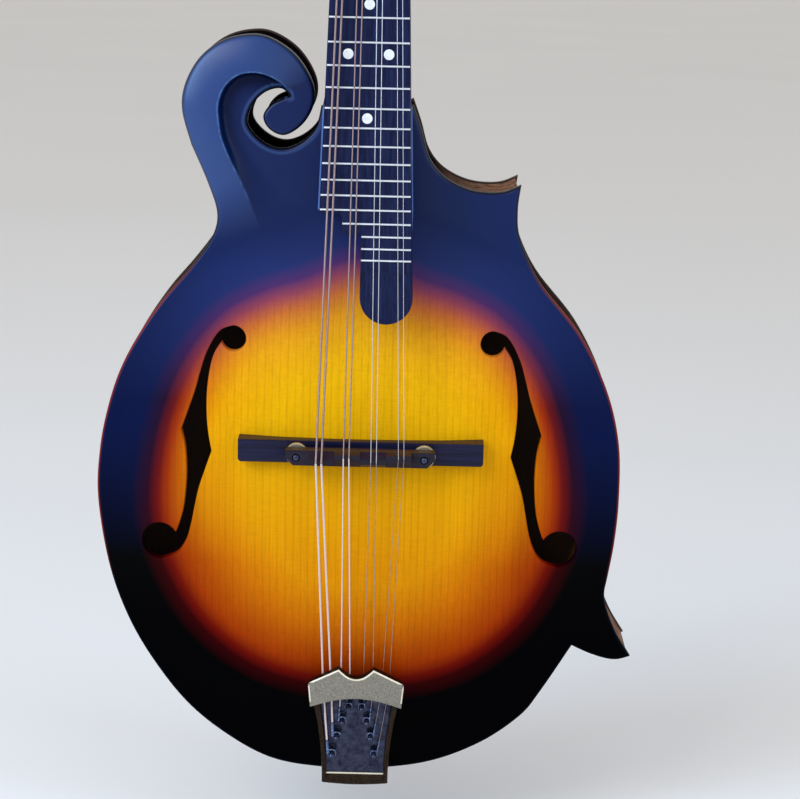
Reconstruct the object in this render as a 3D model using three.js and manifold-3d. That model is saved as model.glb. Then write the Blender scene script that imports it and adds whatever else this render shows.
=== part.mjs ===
// A carved, scroll-bodied mandolin of eight strings, hung upright with its face toward -Y.
// Each piece is drawn in the body's own axes: x to the treble side, y toward the head, z out of the face,
// with y = 0 at the nut and z = 0 at the upper edge of the top plate. Lengths are in millimetres.
import * as THREE from 'three';
import { mergeVertices } from 'three/addons/utils/BufferGeometryUtils.js';
import Module from 'manifold-3d';

const wasm = await Module();
wasm.setup();

// Main sizes
const scaleLength = 355;
const saddleSetback = 3;
const bodyLength = 360;
const bodyWidth = 252;
const seam = 0.3;
const overrun = 6;

// Sound box
const topThickness = 4.6;
const backThickness = 4.4;
const edgeOverhang = 0.8;
const rimHeight = 34;
const rimThickness = 2.6;
const topArch = 15.5;
const backArch = 12;
const liningHeight = 7;
const liningThickness = 5;
const tailBlockWidth = 66;
const tailBlockDepth = 18;
const toneBarWidth = 7;
const toneBarHeight = 9;
const toneBarSpread = 27;
const backButtonRadius = 13;

// Raised band of the scroll
const bandRise = 4.6;
const bandSink = 0.6;

// Neck and fingerboard
const neckDrop = 0.5;
const nutWidth = 28;
const boardFlareShare = 0.0591;
const boardThickness = 4.5;
const boardTongue = 29.75;
const scoopMargin = 5.75;
const scoopDepth = 1.4;
const extensionLeft = 1.8;
const fretWidth = 1.4;
const fretHeight = 1;
const stepDrop = 1.5;
const stepWidth = 10.8;
const stepFlare = 2.2;
const neckDepth = 13.5;
const neckSwell = 3;
const heelCurve = 2.2;
const heelLength = 34;
const heelWidth = 19;
const tenonWidth = 19;
const tenonFlare = 5;
const tenonLength = 14;
const riserOverhang = 0.8;
const riserInset = 1.2;
const riserSetback = 10;
const nutThickness = 4.5;
const nutHeight = 1.5;
const nutBackDrop = 1.5;
const nutTrim = 0.5;

// Truss rod
const rodRadius = 2.3;
const rodDepth = 6.5;
const rodNutRadius = 3.5;
const rodNutLength = 8;
const rodStub = 19;
const rodPocketWidth = 12;
const rodPocketStart = 7;
const rodPocketLength = 22;
const rodPocketDepth = 10;
const coverWidth = 24;
const coverLength = 36;
const coverThickness = 1.6;

// Headstock
const headAngle = THREE.MathUtils.degToRad(13);
const headLength = 176;
const headWidth = 82;
const headThickness = 14;
const veneerThickness = 1.6;

// Tuning machines
const postSpacing = 23;
const postStart = 36;
const postSpread = 18.5;
const postRadius = 3;
const postWaist = 2.5;
const postHeight = 12;
const postHoleRadius = 0.9;
const postRows = 4;
const windLength = 3.6;
const plateThickness = 1.2;
const plateWidth = 15;
const plateMargin = 10;
const gearTeeth = 15;
const gearPitchRadius = 4.6;
const gearThickness = 2;
const toothHeight = 0.55;
const wormPitchRadius = 2.1;
const wormCore = 1.45;
const wormTurns = 2;
const shaftRadius = 1.3;
const shaftReach = 19;
const earThickness = 1.5;
const earRadius = 2.6;
const earOffset = 6;
const buttonSink = 0.6;
const buttonLength = 10;
const buttonWidth = 12;
const buttonThickness = 6;

// Bridge
const baseLength = 116;
const baseTopWidth = 11.2;
const baseFootWidth = 12.6;
const baseHeight = 20.2;
const saddleAction = 2.8248;
const bridgePostSpread = 30;
const bridgePostRadius = 1.6;
const bridgePostReach = 11.8;
const bridgePostSink = 4;
const wheelRadius = 5.4;
const wheelThickness = 2.6;
const wheelGap = 1.7;
const wheelRidges = 16;
const wheelRidgeDepth = 0.35;
const saddleLength = 70;
const saddleWidth = 7.3;
const saddleEarLength = 11;
const saddleEarRound = 3.6;
const saddleEarHeight = 6.6;
const saddleHeight = 10.2;
const crestWidth = 2.6;
const crestDepth = 3.2;
const crestSetbackShares = [-0.3, 0.28, -0.12, 0.3];

// Tailpiece
const tailTilt = THREE.MathUtils.degToRad(7.5);
const tailGap = 2.4;
const trayWidth = 32.5;
const trayTopWidth = 41;
const trayThickness = 1.8;
const railWidth = 2.6;
const railHeight = 4.6;
const crownWidth = 46.6;
const crownDepth = 21;
const crownPlace = 40.5;
const crownLift = 6.6;
const crownThickness = 4.4;
const crownOverlap = 10.8;
const crownPass = 7;
const hookRadius = 1.1;
const hookHeight = 4.2;
const apronLength = 30;
const screwDrop = 14.6;
const apronThickness = 2.4;
const screwRadius = 1.5;
const screwHeadRadius = 2.8;
const screwHeadHeight = 1.6;
const screwLength = 14;
const pinRadius = 3.2;
const pinHeadRadius = 6.5;
const pinLength = 11;
const pinSink = 13;
const pinDrop = 21;

// Strings, from the bass side to the treble side
const stringRadii = [0.51, 0.51, 0.33, 0.33, 0.19, 0.19, 0.14, 0.14];
const stringNames = ['g_outer', 'g_inner', 'd_outer', 'd_inner', 'a_inner', 'a_outer', 'e_inner', 'e_outer'];
const nutSpread = 19.6;
const nutPairGap = 2.4;
const saddleSpread = 38.4;
const saddlePairGap = 2.6;
const crownSpread = 31.8;
const loopShare = 0.8;
const loopSteps = 7;
const windTurns = 2;
const windSteps = 12;
const windGap = 0.45;
const windTop = 8.6;
const stringLift = 4.6;

// Shared counts and shares
const tinySegments = 6;
const smallSegments = 8;
const plainSegments = 12;
const fineSegments = 16;
const edgeSteps = 2;
const archSteps = 30;
const archRings = 5;
const chamberSteps = 40;
const stringSides = 4;
const fretCount = 24;
const firstStepFret = 20;
const secondStepFret = 22;
const archPower = 1.6;
const insetToleranceShare = 0.02;

// The edge of the body in shares of its width and length, from the neck's treble side round to its bass side
const cutawayShares = [
  [0.084, 0.914], [0.1, 0.883], [0.116, 0.847], [0.146, 0.822], [0.195, 0.806], [0.25, 0.804], [0.288, 0.814],
];
const trebleShares = [
  [0.288, 0.814], [0.283, 0.78], [0.29, 0.742], [0.329, 0.686], [0.408, 0.618], [0.463, 0.544], [0.491, 0.47],
  [0.496, 0.393], [0.491, 0.333], [0.481, 0.285], [0.476, 0.26], [0.484, 0.235], [0.504, 0.203],
  [0.531, 0.173],
];
const lowerPointShares = [[0.531, 0.173], [0.507, 0.168], [0.483, 0.169], [0.45, 0.176], [0.417, 0.186]];
const bassShares = [
  [0.417, 0.186], [0.361, 0.121], [0.321, 0.083], [0.245, 0.043], [0.148, 0.014], [0.04, 0.002],
  [-0.07, 0.002],
  [-0.168, 0.014], [-0.257, 0.048], [-0.335, 0.094], [-0.404, 0.158], [-0.452, 0.221], [-0.485, 0.292],
  [-0.504, 0.38], [-0.5, 0.446], [-0.485, 0.502], [-0.461, 0.555], [-0.426, 0.603], [-0.38, 0.651],
  [-0.328, 0.695], [-0.29, 0.733], [-0.278, 0.766], [-0.295, 0.806], [-0.327, 0.857],
];
const scrollShares = [
  [-0.327, 0.857], [-0.344, 0.9], [-0.34, 0.933], [-0.315, 0.967], [-0.276, 0.99], [-0.23, 1],
  [-0.186, 0.998],
  [-0.137, 0.977], [-0.105, 0.944], [-0.1, 0.915], [-0.119, 0.888], [-0.153, 0.872], [-0.182, 0.879],
  [-0.194, 0.896], [-0.177, 0.913], [-0.145, 0.923],
];
const slitShares = [
  [-0.145, 0.923], [-0.162, 0.932], [-0.19, 0.927], [-0.213, 0.911], [-0.223, 0.889], [-0.21, 0.872],
  [-0.182, 0.858], [-0.152, 0.855], [-0.12, 0.865], [-0.096, 0.884], [-0.086, 0.914],
];

// Where the arch of the plates starts, and the corners that the solid blocks fill
const archShares = [
  [0, 0.028], [0.2, 0.057], [0.35, 0.15], [0.44, 0.275], [0.462, 0.4], [0.425, 0.53], [0.335, 0.645],
  [0.235, 0.72], [0.12, 0.765], [0, 0.78], [-0.12, 0.775], [-0.235, 0.735], [-0.335, 0.65], [-0.43, 0.53],
  [-0.468, 0.4], [-0.45, 0.27], [-0.36, 0.145], [-0.2, 0.055],
];
const archCentreShares = [0, 0.4];
const bridgePlaceShare = 0.46389;
const toneBarShare = 0.65556;
const headBlockShares = [[-0.4, 0.79], [-0.13, 0.75], [0.15, 0.75], [0.19, 0.85], [0.08, 1.1], [-0.4, 1.1]];
const upperPointBlockShares = [[0.222, 0.84], [0.222, 0.79], [0.262, 0.735], [0.33, 0.73], [0.33, 0.84]];
const lowerPointBlockShares = [[0.56, 0.12], [0.56, 0.25], [0.455, 0.268], [0.405, 0.205], [0.36, 0.12]];

// The raised band of the scroll from its start by the slit's tip round the curl and down the shoulder:
// its outer foot, crest and inner foot, and the crest's height in shares of the band's rise
const bandShares = [
  { outer: [-0.13, 0.955], crest: [-0.149, 0.933], inner: [-0.151, 0.931], rise: 0 },
  { outer: [-0.15, 0.972], crest: [-0.166, 0.943], inner: [-0.17, 0.937], rise: 0.55 },
  { outer: [-0.185, 0.988], crest: [-0.188, 0.95], inner: [-0.19, 0.942], rise: 0.85 },
  { outer: [-0.225, 0.992], crest: [-0.211, 0.953], inner: [-0.211, 0.944], rise: 1 },
  { outer: [-0.27, 0.982], crest: [-0.237, 0.95], inner: [-0.233, 0.941], rise: 1 },
  { outer: [-0.306, 0.96], crest: [-0.257, 0.94], inner: [-0.251, 0.933], rise: 1 },
  { outer: [-0.331, 0.928], crest: [-0.272, 0.922], inner: [-0.265, 0.918], rise: 1 },
  { outer: [-0.335, 0.898], crest: [-0.277, 0.905], inner: [-0.269, 0.904], rise: 1 },
  { outer: [-0.318, 0.856], crest: [-0.272, 0.877], inner: [-0.264, 0.875], rise: 0.9 },
  { outer: [-0.3, 0.826], crest: [-0.257, 0.845], inner: [-0.249, 0.843], rise: 0.7 },
  { outer: [-0.286, 0.8], crest: [-0.241, 0.822], inner: [-0.233, 0.819], rise: 0.4 },
  { outer: [-0.272, 0.775], crest: [-0.225, 0.798], inner: [-0.217, 0.795], rise: 0 },
];
const bandCrownShare = 0.45;
const bandCrownRiseShare = 0.72;

// The sound holes: place and size, and the radius of each eye, in shares of the body's width and length
const soundHolePlaceShares = [0.24405, 0.60472];
const soundHoleSizeShares = [0.1381, 0.28028];
const upperEyeShare = 0.02381;
const lowerEyeShare = 0.03571;

// A sound hole's two edges between its eyes, in shares of its width and length, each with a nick halfway
const outerEdgeShares = [
  [[0.014, -0.059], [0.172, -0.037], [0.29, 0.016], [0.394, 0.094], [0.468, 0.18], [0.543, 0.275],
   [0.71, 0.443]],
  [[0.71, 0.443], [0.652, 0.532], [0.632, 0.66], [0.661, 0.8], [0.707, 0.877], [0.773, 0.946]],
];
const innerEdgeShares = [
  [[0.99, 1.089], [0.77, 1.056], [0.644, 0.992], [0.569, 0.905], [0.514, 0.807], [0.451, 0.71],
   [0.284, 0.537]],
  [[0.284, 0.537], [0.33, 0.458], [0.359, 0.361], [0.359, 0.253], [0.328, 0.158], [0.27, 0.078],
   [0.158, 0.017]],
];

// The headstock's edge in shares of its width and length, from the nut's treble side over the two curls
const headTrebleShares = [
  [0.2, 0], [0.215, 0.035], [0.275, 0.075], [0.35, 0.1], [0.378, 0.13], [0.36, 0.19], [0.345, 0.33],
  [0.35, 0.52], [0.37, 0.64], [0.42, 0.725], [0.47, 0.79], [0.465, 0.86], [0.405, 0.89], [0.34, 0.865],
  [0.335, 0.82], [0.375, 0.8],
];
const headCrownShares = [
  [0.375, 0.8], [0.33, 0.785], [0.275, 0.82], [0.21, 0.885], [0.11, 0.925], [0, 0.93], [-0.08, 0.955],
  [-0.17, 0.99], [-0.29, 1], [-0.4, 0.965], [-0.455, 0.9], [-0.44, 0.83], [-0.375, 0.79], [-0.3, 0.81],
  [-0.29, 0.865], [-0.335, 0.885],
];
const headBassShares = [
  [-0.335, 0.885], [-0.25, 0.89], [-0.235, 0.81], [-0.29, 0.745], [-0.36, 0.68], [-0.37, 0.6], [-0.35, 0.5],
  [-0.345, 0.33], [-0.36, 0.19], [-0.378, 0.13], [-0.35, 0.1], [-0.275, 0.075], [-0.215, 0.035], [-0.2, 0],
];

// The crown of the tailpiece: half of its upper and lower edges in shares of its half width and depth
const crownHalfShares = [
  [0, 0.76], [0.15, 0.8], [0.36, 1], [1, 0.62], [0.95, 0], [0.6, 0.14], [0.3, 0.22], [0, 0.25],
];

// String hooks from bass to treble in shares of the tray's half width and length, and strings under the crown
const hookShares = [
  [-0.7, 0.32], [-0.56, 0.56], [-0.4, 0.77], [-0.22, 0.96], [0.18, 0.96], [0.33, 0.77], [0.45, 0.56],
  [0.57, 0.32],
];
const stringCrownShares = [-1, -0.757, -0.46, -0.186, 0.21, 0.508, 0.78, 1];

// The cover of the truss rod: half of its edge in shares of its half width and length
const coverHalfShares = [[0.6, 0], [1, 0.25], [0.8, 0.6], [0, 1]];

// The strap button: shares of its head's radius and of its length, from the body outward
const pinShares = [[0.75, 0], [0.54, 0.32], [0.8, 0.64], [1, 0.82], [0.8, 1], [0, 1]];

// Half widths of a gear tooth at its crest and foot, and of the worm's thread foot, in shares of the pitch
const toothCrestShare = 0.11;
const toothFootShare = 0.27;
const threadFootShare = 0.27;

// Places worked out from the sizes above
const saddleY = -(scaleLength + saddleSetback);
const tailY = saddleY - bodyLength * bridgePlaceShare;
const jointY = tailY + bodyLength * cutawayShares[0][1];
const rimTop = -(topThickness + seam);
const rimBottom = rimTop - rimHeight;
const backTop = rimBottom - seam;
const backEdge = backTop - backThickness;
const archCentre = place(archCentreShares);
const boardEnd = fretY(fretCount) - boardTongue;
const scoopStart = fretY(fretCount) - scoopMargin;
const riserEnd = boardEnd + riserSetback;

// The neck leans back so that its strings pass over the bridge
const wheelBottom = baseHeight + wheelGap;
const saddleBottom = wheelBottom + wheelThickness + seam;
const saddleTop = saddleBottom + saddleHeight;
const neckAngle = Math.atan2(saddleTop - saddleAction + neckDrop - boardThickness, -saddleY);

const neckFrame = new THREE.Matrix4().makeRotationX(-neckAngle).setPosition(0, 0, -neckDrop);
const headFrame = neckFrame.clone().multiply(
  new THREE.Matrix4().makeRotationX(-headAngle).setPosition(0, nutThickness + seam, 0),
);
const tailFrame = new THREE.Matrix4().makeRotationX(tailTilt).setPosition(0, tailY, tailGap);

// Joining and cutting

function solidOf(geometry) {
  const bare = geometry.clone();
  bare.deleteAttribute('normal');
  bare.deleteAttribute('uv');
  const merged = mergeVertices(bare);
  return new wasm.Manifold(new wasm.Mesh({
    numProp: 3,
    vertProperties: new Float32Array(merged.attributes.position.array),
    triVerts: new Uint32Array(merged.index.array),
  }));
}

function geometryOf(solid) {
  const mesh = solid.getMesh();
  const geometry = new THREE.BufferGeometry();
  geometry.setAttribute('position', new THREE.BufferAttribute(mesh.vertProperties, 3));
  geometry.setIndex(new THREE.BufferAttribute(mesh.triVerts, 1));
  geometry.computeVertexNormals();
  return geometry;
}

function inFrame(solid, frame) {
  return solidOf(geometryOf(solid).applyMatrix4(frame));
}

function shifted(solid, x, y, z) {
  return inFrame(solid, new THREE.Matrix4().makeTranslation(x, y, z));
}

function prism(points, low, high) {
  const options = { depth: high - low, bevelEnabled: false };
  const geometry = new THREE.ExtrudeGeometry(new THREE.Shape(points), options);
  return solidOf(geometry.translate(0, 0, low));
}

// A prism whose outline lies in the y-z plane and whose length runs along x
function crossPrism(points, left, right) {
  const options = { depth: right - left, bevelEnabled: false };
  const geometry = new THREE.ExtrudeGeometry(new THREE.Shape(points), options);
  const turn = new THREE.Matrix4().makeBasis(
    new THREE.Vector3(0, 1, 0), new THREE.Vector3(0, 0, 1), new THREE.Vector3(1, 0, 0),
  );
  return solidOf(geometry.applyMatrix4(turn).translate(left, 0, 0));
}

function block(left, right, near, far, low, high) {
  const geometry = new THREE.BoxGeometry(right - left, far - near, high - low);
  return solidOf(geometry.translate((left + right) / 2, (near + far) / 2, (low + high) / 2));
}

// A cylinder along z
function rod(x, y, radius, low, high, segments = plainSegments) {
  const geometry = new THREE.CylinderGeometry(radius, radius, high - low, segments);
  return solidOf(geometry.rotateX(Math.PI / 2).translate(x, y, (low + high) / 2));
}

// A turned piece along z from a profile of [radius, height] that starts and ends on the axis
function turned(profile, segments = plainSegments) {
  const points = profile.map(([radius, height]) => new THREE.Vector2(radius, height));
  return solidOf(new THREE.LatheGeometry(points, segments).rotateX(Math.PI / 2));
}

function along(solid, axis) {
  const geometry = geometryOf(solid);
  if (axis === 'x') geometry.rotateY(Math.PI / 2);
  if (axis === 'y') geometry.rotateX(-Math.PI / 2);
  if (axis === '-y') geometry.rotateX(Math.PI / 2);
  return solidOf(geometry);
}

// A closed solid through rings of equally many points
function loft(rings) {
  const count = rings[0].length;
  const last = (rings.length - 1) * count;
  const faces = [];
  for (let i = 1; i < count - 1; i += 1) faces.push(0, i + 1, i, last, last + i, last + i + 1);
  for (let low = 0; low < last; low += count) {
    for (let i = 0; i < count; i += 1) {
      const a = low + i;
      const b = low + (i + 1) % count;
      faces.push(a, b, b + count, a, b + count, a + count);
    }
  }
  return new wasm.Manifold(new wasm.Mesh({
    numProp: 3, vertProperties: new Float32Array(rings.flat(2)), triVerts: new Uint32Array(faces),
  }));
}

// Outlines

function place([x, y]) {
  return new THREE.Vector2(x * bodyWidth, tailY + y * bodyLength);
}

function smooth(points, steps) {
  return new THREE.SplineCurve(points).getPoints(steps * (points.length - 1));
}

function chain(stretches) {
  const points = stretches.flatMap((stretch) => stretch.slice(0, -1));
  return THREE.ShapeUtils.isClockWise(points) ? points.reverse() : points;
}

function distanceToEdge(point, outline) {
  const nearest = new THREE.Vector3();
  const probe = new THREE.Vector3(point.x, point.y, 0);
  let least = Infinity;
  outline.forEach((start, i) => {
    const end = outline[(i + 1) % outline.length];
    const side = new THREE.Line3(new THREE.Vector3(start.x, start.y, 0), new THREE.Vector3(end.x, end.y, 0));
    side.closestPointToPoint(probe, true, nearest);
    least = Math.min(least, nearest.distanceTo(probe));
  });
  return least;
}

// The same outline moved inward, without the loops that sharp corners would leave
function inset(outline, distance) {
  const count = outline.length;
  const moved = outline.map((point, i) => {
    const way = outline[(i + 1) % count].clone().sub(outline[(i + count - 1) % count]).normalize();
    return new THREE.Vector2(point.x - way.y * distance, point.y + way.x * distance);
  });
  return moved.filter((point) => distanceToEdge(point, outline) > distance * (1 - insetToleranceShare));
}

const bodyOutline = chain([
  smooth(cutawayShares.map(place), edgeSteps),
  smooth(trebleShares.map(place), edgeSteps),
  smooth(lowerPointShares.map(place), edgeSteps),
  smooth(bassShares.map(place), edgeSteps),
  smooth(scrollShares.map(place), edgeSteps),
  smooth(slitShares.map(place), edgeSteps),
]);
const rimOutline = inset(bodyOutline, edgeOverhang);
const innerOutline = inset(bodyOutline, edgeOverhang + rimThickness);
const blockOutline = inset(bodyOutline, edgeOverhang + rimThickness + seam);

// The round of the chamber, which skips the points and the scroll, carries the linings
const chamberOutline = chain([
  new THREE.CatmullRomCurve3(
    [...trebleShares.slice(2, 9), ...bassShares.slice(2, -3), ...archShares.slice(8, 11).reverse()]
      .map(place).map(({ x, y }) => new THREE.Vector3(x, y, 0)),
    true,
  ).getPoints(chamberSteps).map(({ x, y }) => new THREE.Vector2(x, y)),
]);
const liningOutline = inset(chamberOutline, edgeOverhang + rimThickness + seam);
const liningInner = inset(chamberOutline, edgeOverhang + rimThickness + seam + liningThickness);

const archOutline = new THREE.CatmullRomCurve3(
  archShares.map(place).map(({ x, y }) => new THREE.Vector3(x, y, 0)), true,
).getPoints(archSteps).slice(0, -1);

// A closed dome over the arch outline: its rings shrink to the centre while they rise
function dome(base, foot, rise) {
  const rings = archRings;
  const count = archOutline.length;
  const positions = [];
  const faces = [];
  const addRing = (share, height) => archOutline.forEach(({ x, y }) => {
    positions.push(
      archCentre.x + (x - archCentre.x) * share, archCentre.y + (y - archCentre.y) * share, height,
    );
  });
  addRing(1, base);
  for (let ring = 0; ring < rings; ring += 1) {
    const share = 1 - ring / rings;
    addRing(share, foot + rise * (1 + Math.cos(Math.PI * share ** archPower)) / 2);
  }
  positions.push(archCentre.x, archCentre.y, base, archCentre.x, archCentre.y, foot + rise);
  const bottom = (rings + 1) * count;
  for (let i = 0; i < count; i += 1) {
    const next = (i + 1) % count;
    faces.push(bottom, next, i, bottom + 1, rings * count + i, rings * count + next);
    for (let ring = 0; ring < rings; ring += 1) {
      const low = ring * count;
      const high = low + count;
      faces.push(low + i, low + next, high + next, low + i, high + next, high + i);
    }
  }
  return new wasm.Manifold(new wasm.Mesh({
    numProp: 3, vertProperties: new Float32Array(positions), triVerts: new Uint32Array(faces),
  }));
}

function mirrored(solid) {
  const geometry = geometryOf(solid).scale(1, 1, -1);
  const { array } = geometry.index;
  for (let i = 0; i < array.length; i += 3) [array[i], array[i + 1]] = [array[i + 1], array[i]];
  return solidOf(geometry);
}

// The space that the top plate fills, down to its lower edge, grown upward by a clearance
function topSpace(clearance) {
  return prism(bodyOutline, -topThickness - overrun, clearance)
    .add(dome(-topThickness - overrun, clearance, topArch));
}

// Sound box

function soundHole(side) {
  const [spread, top] = soundHolePlaceShares;
  const [width, length] = soundHoleSizeShares;
  const point = ([x, y]) => place([side * (spread + x * width), top - y * length]);
  const edges = [...outerEdgeShares, ...innerEdgeShares].flatMap((edge) => smooth(edge.map(point), 1));
  const low = -topThickness - overrun;
  const high = topArch + overrun;
  const upper = point([0, 0]);
  const lower = point([1, 1]);
  return prism(edges, low, high)
    .add(rod(upper.x, upper.y, upperEyeShare * bodyWidth, low, high))
    .add(rod(lower.x, lower.y, lowerEyeShare * bodyWidth, low, high));
}

// The carved band rises from the scroll's edge to its crest and drops steeply inside
function scrollBand() {
  return loft(bandShares.map(({ outer, crest, inner, rise }) => {
    const foot = place(outer);
    const top = place(crest);
    const drop = place(inner);
    const crown = foot.clone().lerp(top, bandCrownShare);
    const height = rise * bandRise;
    return [
      [drop.x, drop.y, -bandSink], [top.x, top.y, height], [crown.x, crown.y, height * bandCrownRiseShare],
      [foot.x, foot.y, -bandSink],
    ];
  }));
}

function topPlate() {
  return prism(bodyOutline, -topThickness, 0)
    .add(dome(-topThickness / 2, 0, topArch))
    .add(scrollBand())
    .subtract(dome(-topThickness - overrun, -topThickness, topArch))
    .subtract(soundHole(-1))
    .subtract(soundHole(1));
}

// The back carries a round button that the heel of the neck stands on
function backPlate() {
  const plate = prism(bodyOutline, 0, backThickness)
    .add(rod(0, jointY, backButtonRadius, 0, backThickness))
    .add(dome(backThickness / 2, backThickness, backArch))
    .subtract(dome(-overrun, 0, backArch));
  return shifted(mirrored(plate), 0, 0, backTop);
}

function tenon(clearance) {
  const half = tenonWidth / 2 + clearance;
  const near = jointY + overrun;
  const far = jointY - tenonLength - clearance;
  return prism([
    new THREE.Vector2(-half, near), new THREE.Vector2(-half - tenonFlare / 2, far),
    new THREE.Vector2(half + tenonFlare / 2, far), new THREE.Vector2(half, near),
  ], rimBottom + liningHeight - clearance, rimTop + clearance);
}

function lining(low) {
  return prism(liningOutline, low, low + liningHeight)
    .intersect(prism(blockOutline, low - overrun, low + liningHeight + overrun))
    .subtract(prism(liningInner, low - overrun, low + liningHeight + overrun));
}

function liningSpace(low, high) {
  return prism(inset(chamberOutline, edgeOverhang + rimThickness), low, high)
    .subtract(prism(
      inset(chamberOutline, edgeOverhang + rimThickness + seam + liningThickness + seam), low, high,
    ));
}

function rimRing() {
  return prism(rimOutline, rimBottom, rimTop)
    .subtract(prism(innerOutline, rimBottom - overrun, rimTop + overrun));
}

// A block fills the rim's corner inside the given region, and the linings are let into it
function cornerBlock(points) {
  return prism(blockOutline, rimBottom, rimTop)
    .intersect(prism(points, rimBottom - overrun, rimTop + overrun))
    .subtract(rimRing())
    .subtract(liningSpace(rimTop - liningHeight - seam, rimTop + overrun))
    .subtract(liningSpace(rimBottom - overrun, rimBottom + liningHeight + seam));
}

function headBlock() {
  return cornerBlock(headBlockShares.map(place)).subtract(tenon(seam));
}

function tailBlock() {
  const half = tailBlockWidth / 2;
  const region = [
    new THREE.Vector2(-half, tailY - overrun), new THREE.Vector2(half, tailY - overrun),
    new THREE.Vector2(half, tailY + tailBlockDepth), new THREE.Vector2(-half, tailY + tailBlockDepth),
  ];
  return cornerBlock(region).subtract(tailHoles());
}

function toneBar(side) {
  const half = toneBarWidth / 2;
  const middle = side * toneBarSpread;
  const reach = bodyLength * toneBarShare / 2;
  const bar = block(
    middle - half, middle + half, archCentre.y - reach, archCentre.y + reach, -topThickness - toneBarHeight,
    topArch,
  );
  const under = -topThickness - seam;
  const low = under - toneBarHeight - overrun;
  return bar.intersect(dome(low, under, topArch))
    .subtract(dome(low - overrun, under - toneBarHeight, topArch));
}

// Neck

function boardHalfWidth(y) {
  return (nutWidth - boardFlareShare * y) / 2;
}

function fretY(number) {
  return -scaleLength * (1 - 2 ** (-number / 12));
}

// The D-shaped section of the neck, which deepens and narrows below into the heel
function neckSolid() {
  const shaftEnd = jointY + heelLength;
  const heelDepth = neckDrop - jointY * Math.tan(neckAngle) - rimBottom + overrun;
  const stations = [
    [nutThickness + seam, neckDepth, 0], [0, neckDepth, 0], [shaftEnd / 2, neckDepth + neckSwell / 2, 0],
    [shaftEnd, neckDepth + neckSwell, 0],
  ];
  const heelSteps = 5;
  for (let step = 1; step <= heelSteps; step += 1) {
    const share = step / heelSteps;
    stations.push([
      shaftEnd - heelLength * share,
      neckDepth + neckSwell + (heelDepth - neckDepth - neckSwell) * share ** heelCurve, share,
    ]);
  }
  stations.push([jointY - overrun, heelDepth, 1]);
  const sides = 12;
  return loft(stations.map(([y, depth, heel]) => {
    const half = boardHalfWidth(y);
    const pinch = heel * (1 - heelWidth / (2 * half));
    const ring = [];
    for (let i = sides; i >= 0; i -= 1) {
      const turn = Math.PI * i / sides;
      const across = half * Math.cos(turn) * (1 - pinch * Math.sin(turn) ** 2);
      ring.push([across, y, -seam - depth * Math.sin(turn)]);
    }
    return ring;
  }));
}

const headOutline = chain([headTrebleShares, headCrownShares, headBassShares].map((shares) => smooth(
  shares.map(([x, y]) => new THREE.Vector2(x * headWidth, y * headLength)), 2,
)).concat([[
  new THREE.Vector2(headBassShares.at(-1)[0] * headWidth, 0),
  new THREE.Vector2(headTrebleShares[0][0] * headWidth, 0),
]]));

const postPlaces = [-1, 1].flatMap((side) => [0, 1, 2, 3].map((row) => ({
  side, row, x: side * postSpread, y: postStart + row * postSpacing,
})));

function withPostHoles(solid) {
  const clearance = postRadius + seam;
  return postPlaces.reduce(
    (rest, { x, y }) => rest.subtract(
      rod(x, y, clearance, -headThickness - overrun, postHeight, smallSegments),
    ), solid,
  );
}

function trussPocket() {
  return block(
    -rodPocketWidth / 2, rodPocketWidth / 2, rodPocketStart, rodPocketStart + rodPocketLength,
    -rodPocketDepth, overrun,
  );
}

function neckPiece() {
  const head = withPostHoles(prism(headOutline, -headThickness, 0)).subtract(trussPocket());
  const channel = block(
    -rodRadius - seam, rodRadius + seam, jointY + heelLength / 2, rodStub,
    -rodDepth - rodRadius - seam, overrun,
  );
  const headInNeck = neckFrame.clone().invert().multiply(headFrame);
  const handle = neckSolid().add(inFrame(head, headInNeck)).subtract(channel);
  const trimmed = inFrame(handle, neckFrame).subtract(block(
    -bodyWidth, bodyWidth, tailY, jointY + seam, backEdge - bodyWidth, bodyWidth,
  )).subtract(block(-bodyWidth, bodyWidth, tailY, 0, rimBottom - bodyWidth, rimBottom));
  return trimmed.add(tenon(0));
}

// The riser fills the space between the fingerboard and the top plate
function riser() {
  const half = (y) => boardHalfWidth(y) + riserOverhang;
  const step = fretY(firstStepFret) - stepDrop + riserInset;
  const narrow = -extensionLeft + riserInset;
  const points = [
    new THREE.Vector2(-half(0), 0), new THREE.Vector2(-half(step), step), new THREE.Vector2(narrow, step),
    new THREE.Vector2(narrow, riserEnd + riserInset),
    new THREE.Vector2(boardHalfWidth(riserEnd) - riserInset, riserEnd + riserInset),
    new THREE.Vector2(half(step), step), new THREE.Vector2(half(0), 0),
  ];
  const filler = inFrame(prism(points, -bodyLength, -seam), neckFrame);
  return filler.subtract(topSpace(seam)).subtract(block(
    -bodyWidth, bodyWidth, tailY, 0, -bodyLength - overrun, 0,
  )).subtract(block(-bodyWidth, bodyWidth, jointY - seam, 0, -bodyLength, bodyLength));
}

function boardOutline() {
  const half = boardHalfWidth;
  const firstStep = fretY(firstStepFret) - stepDrop;
  const secondStep = fretY(secondStepFret) + fretWidth / 2;
  const endRadius = (half(boardEnd) + extensionLeft) / 2;
  const endX = (half(boardEnd) - extensionLeft) / 2;
  const endY = boardEnd + endRadius;
  const roundEnd = new THREE.Path()
    .absarc(endX, endY, endRadius, Math.PI, 2 * Math.PI)
    .getPoints(smallSegments);
  return [
    new THREE.Vector2(-half(0), -seam), new THREE.Vector2(-half(firstStep), firstStep),
    new THREE.Vector2(-stepWidth - stepFlare, firstStep),
    new THREE.Vector2(-stepWidth, firstStep - stepDrop * 2),
    new THREE.Vector2(-stepWidth, secondStep + stepDrop),
    new THREE.Vector2(-stepWidth + stepFlare, secondStep),
    new THREE.Vector2(-extensionLeft, secondStep), ...roundEnd, new THREE.Vector2(half(0), -seam),
  ];
}

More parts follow.
